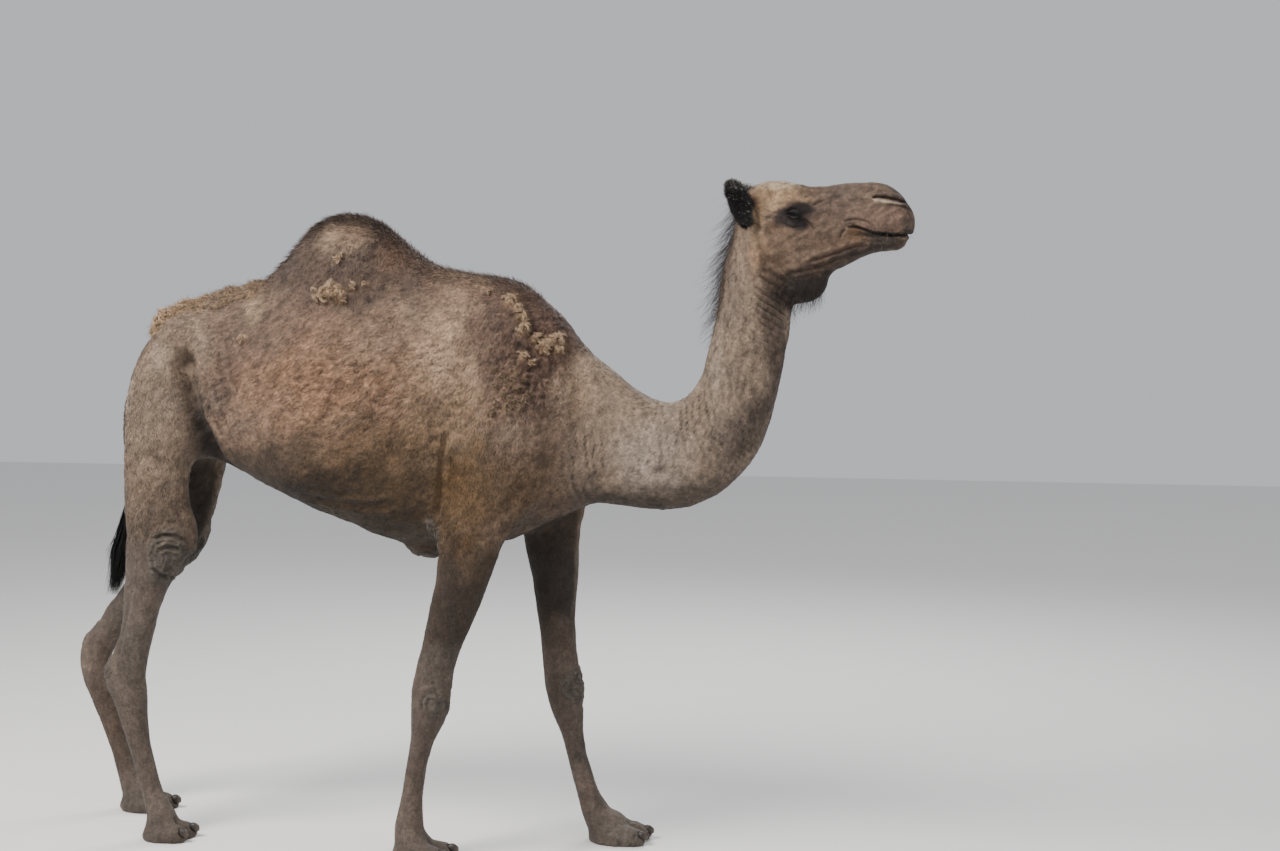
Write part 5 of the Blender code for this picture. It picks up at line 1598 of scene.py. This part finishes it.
def ball_mesh(rings, around):
    """Points and faces of a ball that looks up along z, with a bulging cornea."""
    theta = np.linspace(0, math.pi, rings + 1)[1:-1] ** 1.15 / math.pi**0.15
    phi = np.linspace(0, 2 * math.pi, around, endpoint=False)
    th, ph = np.meshgrid(theta, phi, indexing="ij")
    across = EYE_RADIUS * np.sin(th)
    front = th < math.pi / 2
    radius = EYE_RADIUS + CORNEA * smoothstep(0.0125, 0.004, np.where(front, across, 1))
    local = [radius * np.sin(th) * np.cos(ph), radius * np.sin(th) * np.sin(ph), radius * np.cos(th)]
    local = np.stack(local, axis=2)
    local = np.concatenate([[[0, 0, EYE_RADIUS + CORNEA]], local.reshape(-1, 3), [[0, 0, -EYE_RADIUS]]])
    i = np.arange(rings - 2)[:, None] * around + 1
    j = np.arange(around)[None]
    k = (j + 1) % around
    quads = np.stack([i + j, i + k, i + around + k, i + around + j], axis=2).reshape(-1, 4)[:, ::-1]
    last = len(local) - 1
    ring = 1 + (rings - 2) * around
    top = np.stack([1 + j[0], 1 + k[0], np.zeros(around, int)], axis=1)
    bottom = np.stack([ring + k[0], ring + j[0], np.full(around, last)], axis=1)
    return local, [quads, top, bottom]


def eye_colours(rel, gaze):
    """A dark brown iris with a long level pupil, for points seen from the middle of the ball."""
    ahead = np.array([1.0, 0, 0]) - gaze * gaze[0]
    ahead = ahead / np.linalg.norm(ahead)
    above = np.cross(gaze, ahead)
    above = above * (1 if above[2] > 0 else -1)
    u, v, w = rel @ ahead, rel @ above, rel @ gaze
    r = np.hypot(u, v)
    streak = noise(np.stack([np.arctan2(v, u) * 8, r * 300, w * 0], 1), 1.0, 11)
    iris = linear(*IRIS) * (1 + 0.45 * streak)[:, None]
    iris = iris * (1 - 0.6 * smoothstep(0.0095, 0.0135, r))[:, None]
    white = linear(*EYE_WHITE)
    share = smoothstep(0.0134, 0.0144, r)[:, None]
    colour = iris * (1 - share) + white * share
    slot = np.hypot(u / 0.0062, v / 0.003) + 0.12 * noise(rel, 0.002, 12)
    pupil = smoothstep(1.1, 0.9, slot)[:, None]
    return np.where(w[:, None] > 0, colour * (1 - pupil) + linear(*PUPIL) * pupil, white)


def eyeball(name, side):
    """An eye that looks to its side and a little ahead."""
    gaze = Vector((0.14, side, 0.03)).normalized()
    turn = gaze.to_track_quat("Z", "Y").to_matrix()
    local, faces = ball_mesh(72, 96)
    centre = EYE_CENTRE * (1, side, 1)
    points = local @ np.array(turn).T + centre
    obj = new_object(name, points, faces)
    colour = eye_colours(points - centre, np.array(gaze))
    add_colours(obj.data, np.clip(colour, 0.001, 1))
    return obj


LASH_BLACK = (22, 18, 18)
# rows of lashes: how many, on the upper lid or not, shortest and longest
LASHES = ((150, True, 0.014, 0.024), (110, True, 0.01, 0.017), (46, False, 0.005, 0.009))


def lashes(material_made):
    """Two rows of long lashes on each upper lid and a short row below."""
    roots, ways, sizes = [], [], []
    for side in (-1, 1):
        centre = EYE_CENTRE * (1, side, 1)
        for count, upper, low, high in LASHES:
            u = rng.uniform(-0.92, 0.92, count) * LID_HALF
            up, down = lid_edge(u)
            v = (up if upper else down) + rng.uniform(0, 0.0012, count) * (1 if upper else -1)
            w = np.sqrt(EYE_RADIUS**2 - u**2 - v**2) + 0.001
            _, _, _, along, across = eye_frame(np.zeros((1, 3)), side)
            outward = np.array([0, side, 0.0])
            roots.append(centre + u[:, None] * along + v[:, None] * across + w[:, None] * outward)
            lean = 0.55 * u / LID_HALF + 0.1 * rng.standard_normal(count)
            rise = (0.1 if upper else -0.55) + 0.12 * rng.standard_normal(count)
            ways.append(unit(outward + lean[:, None] * along + rise[:, None] * across))
            sizes.append(rng.uniform(low, high, count))
    roots, ways, sizes = np.concatenate(roots), np.concatenate(ways), np.concatenate(sizes)
    paths = strand_paths(roots, ways, sizes, 6, (0, 0, -0.62), 0.02)
    colours = np.tile(linear(*LASH_BLACK), (len(roots), 1))
    uv = np.tile([[0.5, 0.995]], (len(roots), 1))
    obj = ribbon_mesh("lashes", paths, np.full(len(roots), 0.00055), colours, uv, 0.1)
    place(obj, "coat", material_made)


HORN, HORN_TIP = (44, 36, 31), (96, 84, 70)


def make_nails(material_made):
    """The short toenails, rounded and ridged across their growth."""
    chosen = sorted(n for n in nodes if n.startswith("nail"))
    all_points, all_faces, count = [], [], 0
    for name in chosen:
        mesh = nodes[name].data
        made = remeshed(points_of(mesh), triangles_of(mesh), NAIL_VOXEL)
        p = relax(points_of(made), edges_of(made), np.full(len(made.vertices), 0.5), 8)
        middle = (p.min(0) + p.max(0)) / 2
        n = normals_of(p, triangles_of(made))
        ridge = np.sin((p[:, 0] - middle[0]) / 0.0042 * 2 * math.pi + 1.5 * noise(p, 0.01, 3))
        p = p + n * (0.00028 * ridge + 0.0004 * noise(p, 0.004, 5))[:, None]
        all_points.append(p)
        all_faces.append(corners_of(made).reshape(-1, 4) + count)
        count += len(p)
    points = np.concatenate(all_points)
    obj = new_object("nails", points, [np.concatenate(all_faces)])
    streak = noise(points * (0.4, 1.6, 1.6), 0.004, 14)
    middles = np.repeat([p[:, 0].mean() for p in all_points], [len(p) for p in all_points])
    tip = smoothstep(0.006, 0.02, points[:, 0] - middles)
    colours = linear(*HORN) * (1 + 0.35 * streak)[:, None] + linear(*HORN_TIP) * (0.45 * tip)[:, None]
    add_colours(obj.data, np.clip(colours, 0.003, 1))
    place(obj, "nail", material_made, *chosen)


# ---------------------------------------------------------------- the camel
flesh = sorted(n for n in nodes if not n.startswith(SKIN_FREE))
eyes = sorted(n for n in nodes if n.startswith("eye"))
skin = make_skin_mesh(flesh + eyes)
smooth_facets(skin.data)
shape_skin(skin.data)
add_uvs(skin.data, unwrap(skin.data))
ground = Ground(skin.data)
add_colours(skin.data, ground.colours)
hide = painted_material(
    "hide",
    [(420, 0.75, 1.25), (120, 0.74, 1.26), (48, 0.86, 1.14)],
    260,
    (0.62, 0.88),
    [(620, 0.6, 0.9, 0.0011), (190, 0.6, 0.5, 0.0022)],
    sheen=0.05,
)
fur = painted_material(
    "fur",
    [(900, 0.8, 1.2), (120, 0.74, 1.26), (48, 0.86, 1.14)],
    500,
    (0.6, 0.85),
    [(1500, 0.6, 0.4, 0.0003)],
    sheen=0.06,
)
hair = painted_material(
    "hair", [(700, 0.8, 1.2)], 400, (0.52, 0.75), [(1800, 0.6, 0.4, 0.0002)], specular=0.22
)
wet = painted_material(
    "eye", [(300, 0.92, 1.08)], 200, (0.05, 0.12), [(500, 0.5, 0.05, 0.0001)], specular=0.25, coat=0.35
)
horn = painted_material(
    "nail", [(500, 0.8, 1.2)], 300, (0.35, 0.6), [(900, 0.6, 0.5, 0.0004)], specular=0.45
)
place(skin, "coat", hide, *flesh)
for side, label in ((-1, "right"), (1, "left")):
    place(eyeball("eyeball_" + label, side), "eye", wet, "eye_" + label)
make_coat(ground, fur)
make_long_hair(ground, hair)
tail_hair(ground, hair)
wool_locks(ground, fur)
rump_wool(ground, fur)
lashes(hair)
make_nails(horn)


# ---------------------------------------------------------------- floor, light and camera
FLOOR_HALF = 16.0
# the camera stands at eye height, turned and tipped down by these degrees
LENS, CAMERA_PLACE, CAMERA_TURN, CAMERA_TIP = 53.4375, (2.14, -5.72, 1.65), 15, 2.73


def soft_light(name, location, aim, size, power, colour=(1, 1, 1)):
    data = bpy.data.lights.new(name, "AREA")
    data.shape = "DISK"
    data.size = size
    data.energy = power
    data.color = colour
    light = bpy.data.objects.new(name, data)
    light.location = location
    light.rotation_euler = (Vector(aim) - Vector(location)).to_track_quat("-Z", "Y").to_euler()
    bpy.context.scene.collection.objects.link(light)


def studio():
    """A plain floor, a soft sky and three soft lamps."""
    mesh = bpy.data.meshes.new("floor")
    corners = [(x * FLOOR_HALF, y * FLOOR_HALF, 0) for x, y in ((-1, -1), (1, -1), (1, 1), (-1, 1))]
    mesh.from_pydata(corners, [], [(0, 1, 2, 3)])
    floor = bpy.data.objects.new("floor", mesh)
    bpy.context.scene.collection.objects.link(floor)
    made, tree, shader = material("floor")
    shader.inputs["Base Color"].default_value = (0.78, 0.77, 0.75, 1)
    rough = ranged(tree, noise_node(tree, 6.0), 0.3, 0.7, 0.75, 0.9)
    tree.links.new(rough, shader.inputs["Roughness"])
    mesh.materials.append(made)
    world = bpy.data.worlds.new("studio")
    world.use_nodes = True
    sky = world.node_tree.nodes["Background"].inputs
    sky["Color"].default_value = (0.93, 0.95, 1.0, 1)
    sky["Strength"].default_value = 0.62
    bpy.context.scene.world = world
    soft_light("key", (-2.6, -3.4, 5.6), (0, 0, 1.2), 3.0, 600, (1.0, 0.97, 0.93))
    soft_light("fill", (4.5, -3.6, 2.6), (0.4, 0, 1.3), 3.0, 50, (0.95, 0.97, 1.0))
    soft_light("back", (0.5, 4.2, 4.5), (0, 0, 1.3), 3.0, 160)


def photo_camera():
    data = bpy.data.cameras.new("camera")
    data.lens = LENS
    data.sensor_width = 36
    camera = bpy.data.objects.new("camera", data)
    camera.location = CAMERA_PLACE
    camera.rotation_euler = (math.radians(90 - CAMERA_TIP), 0, math.radians(CAMERA_TURN))
    bpy.context.scene.collection.objects.link(camera)
    bpy.context.scene.camera = camera


photo_camera()
studio()
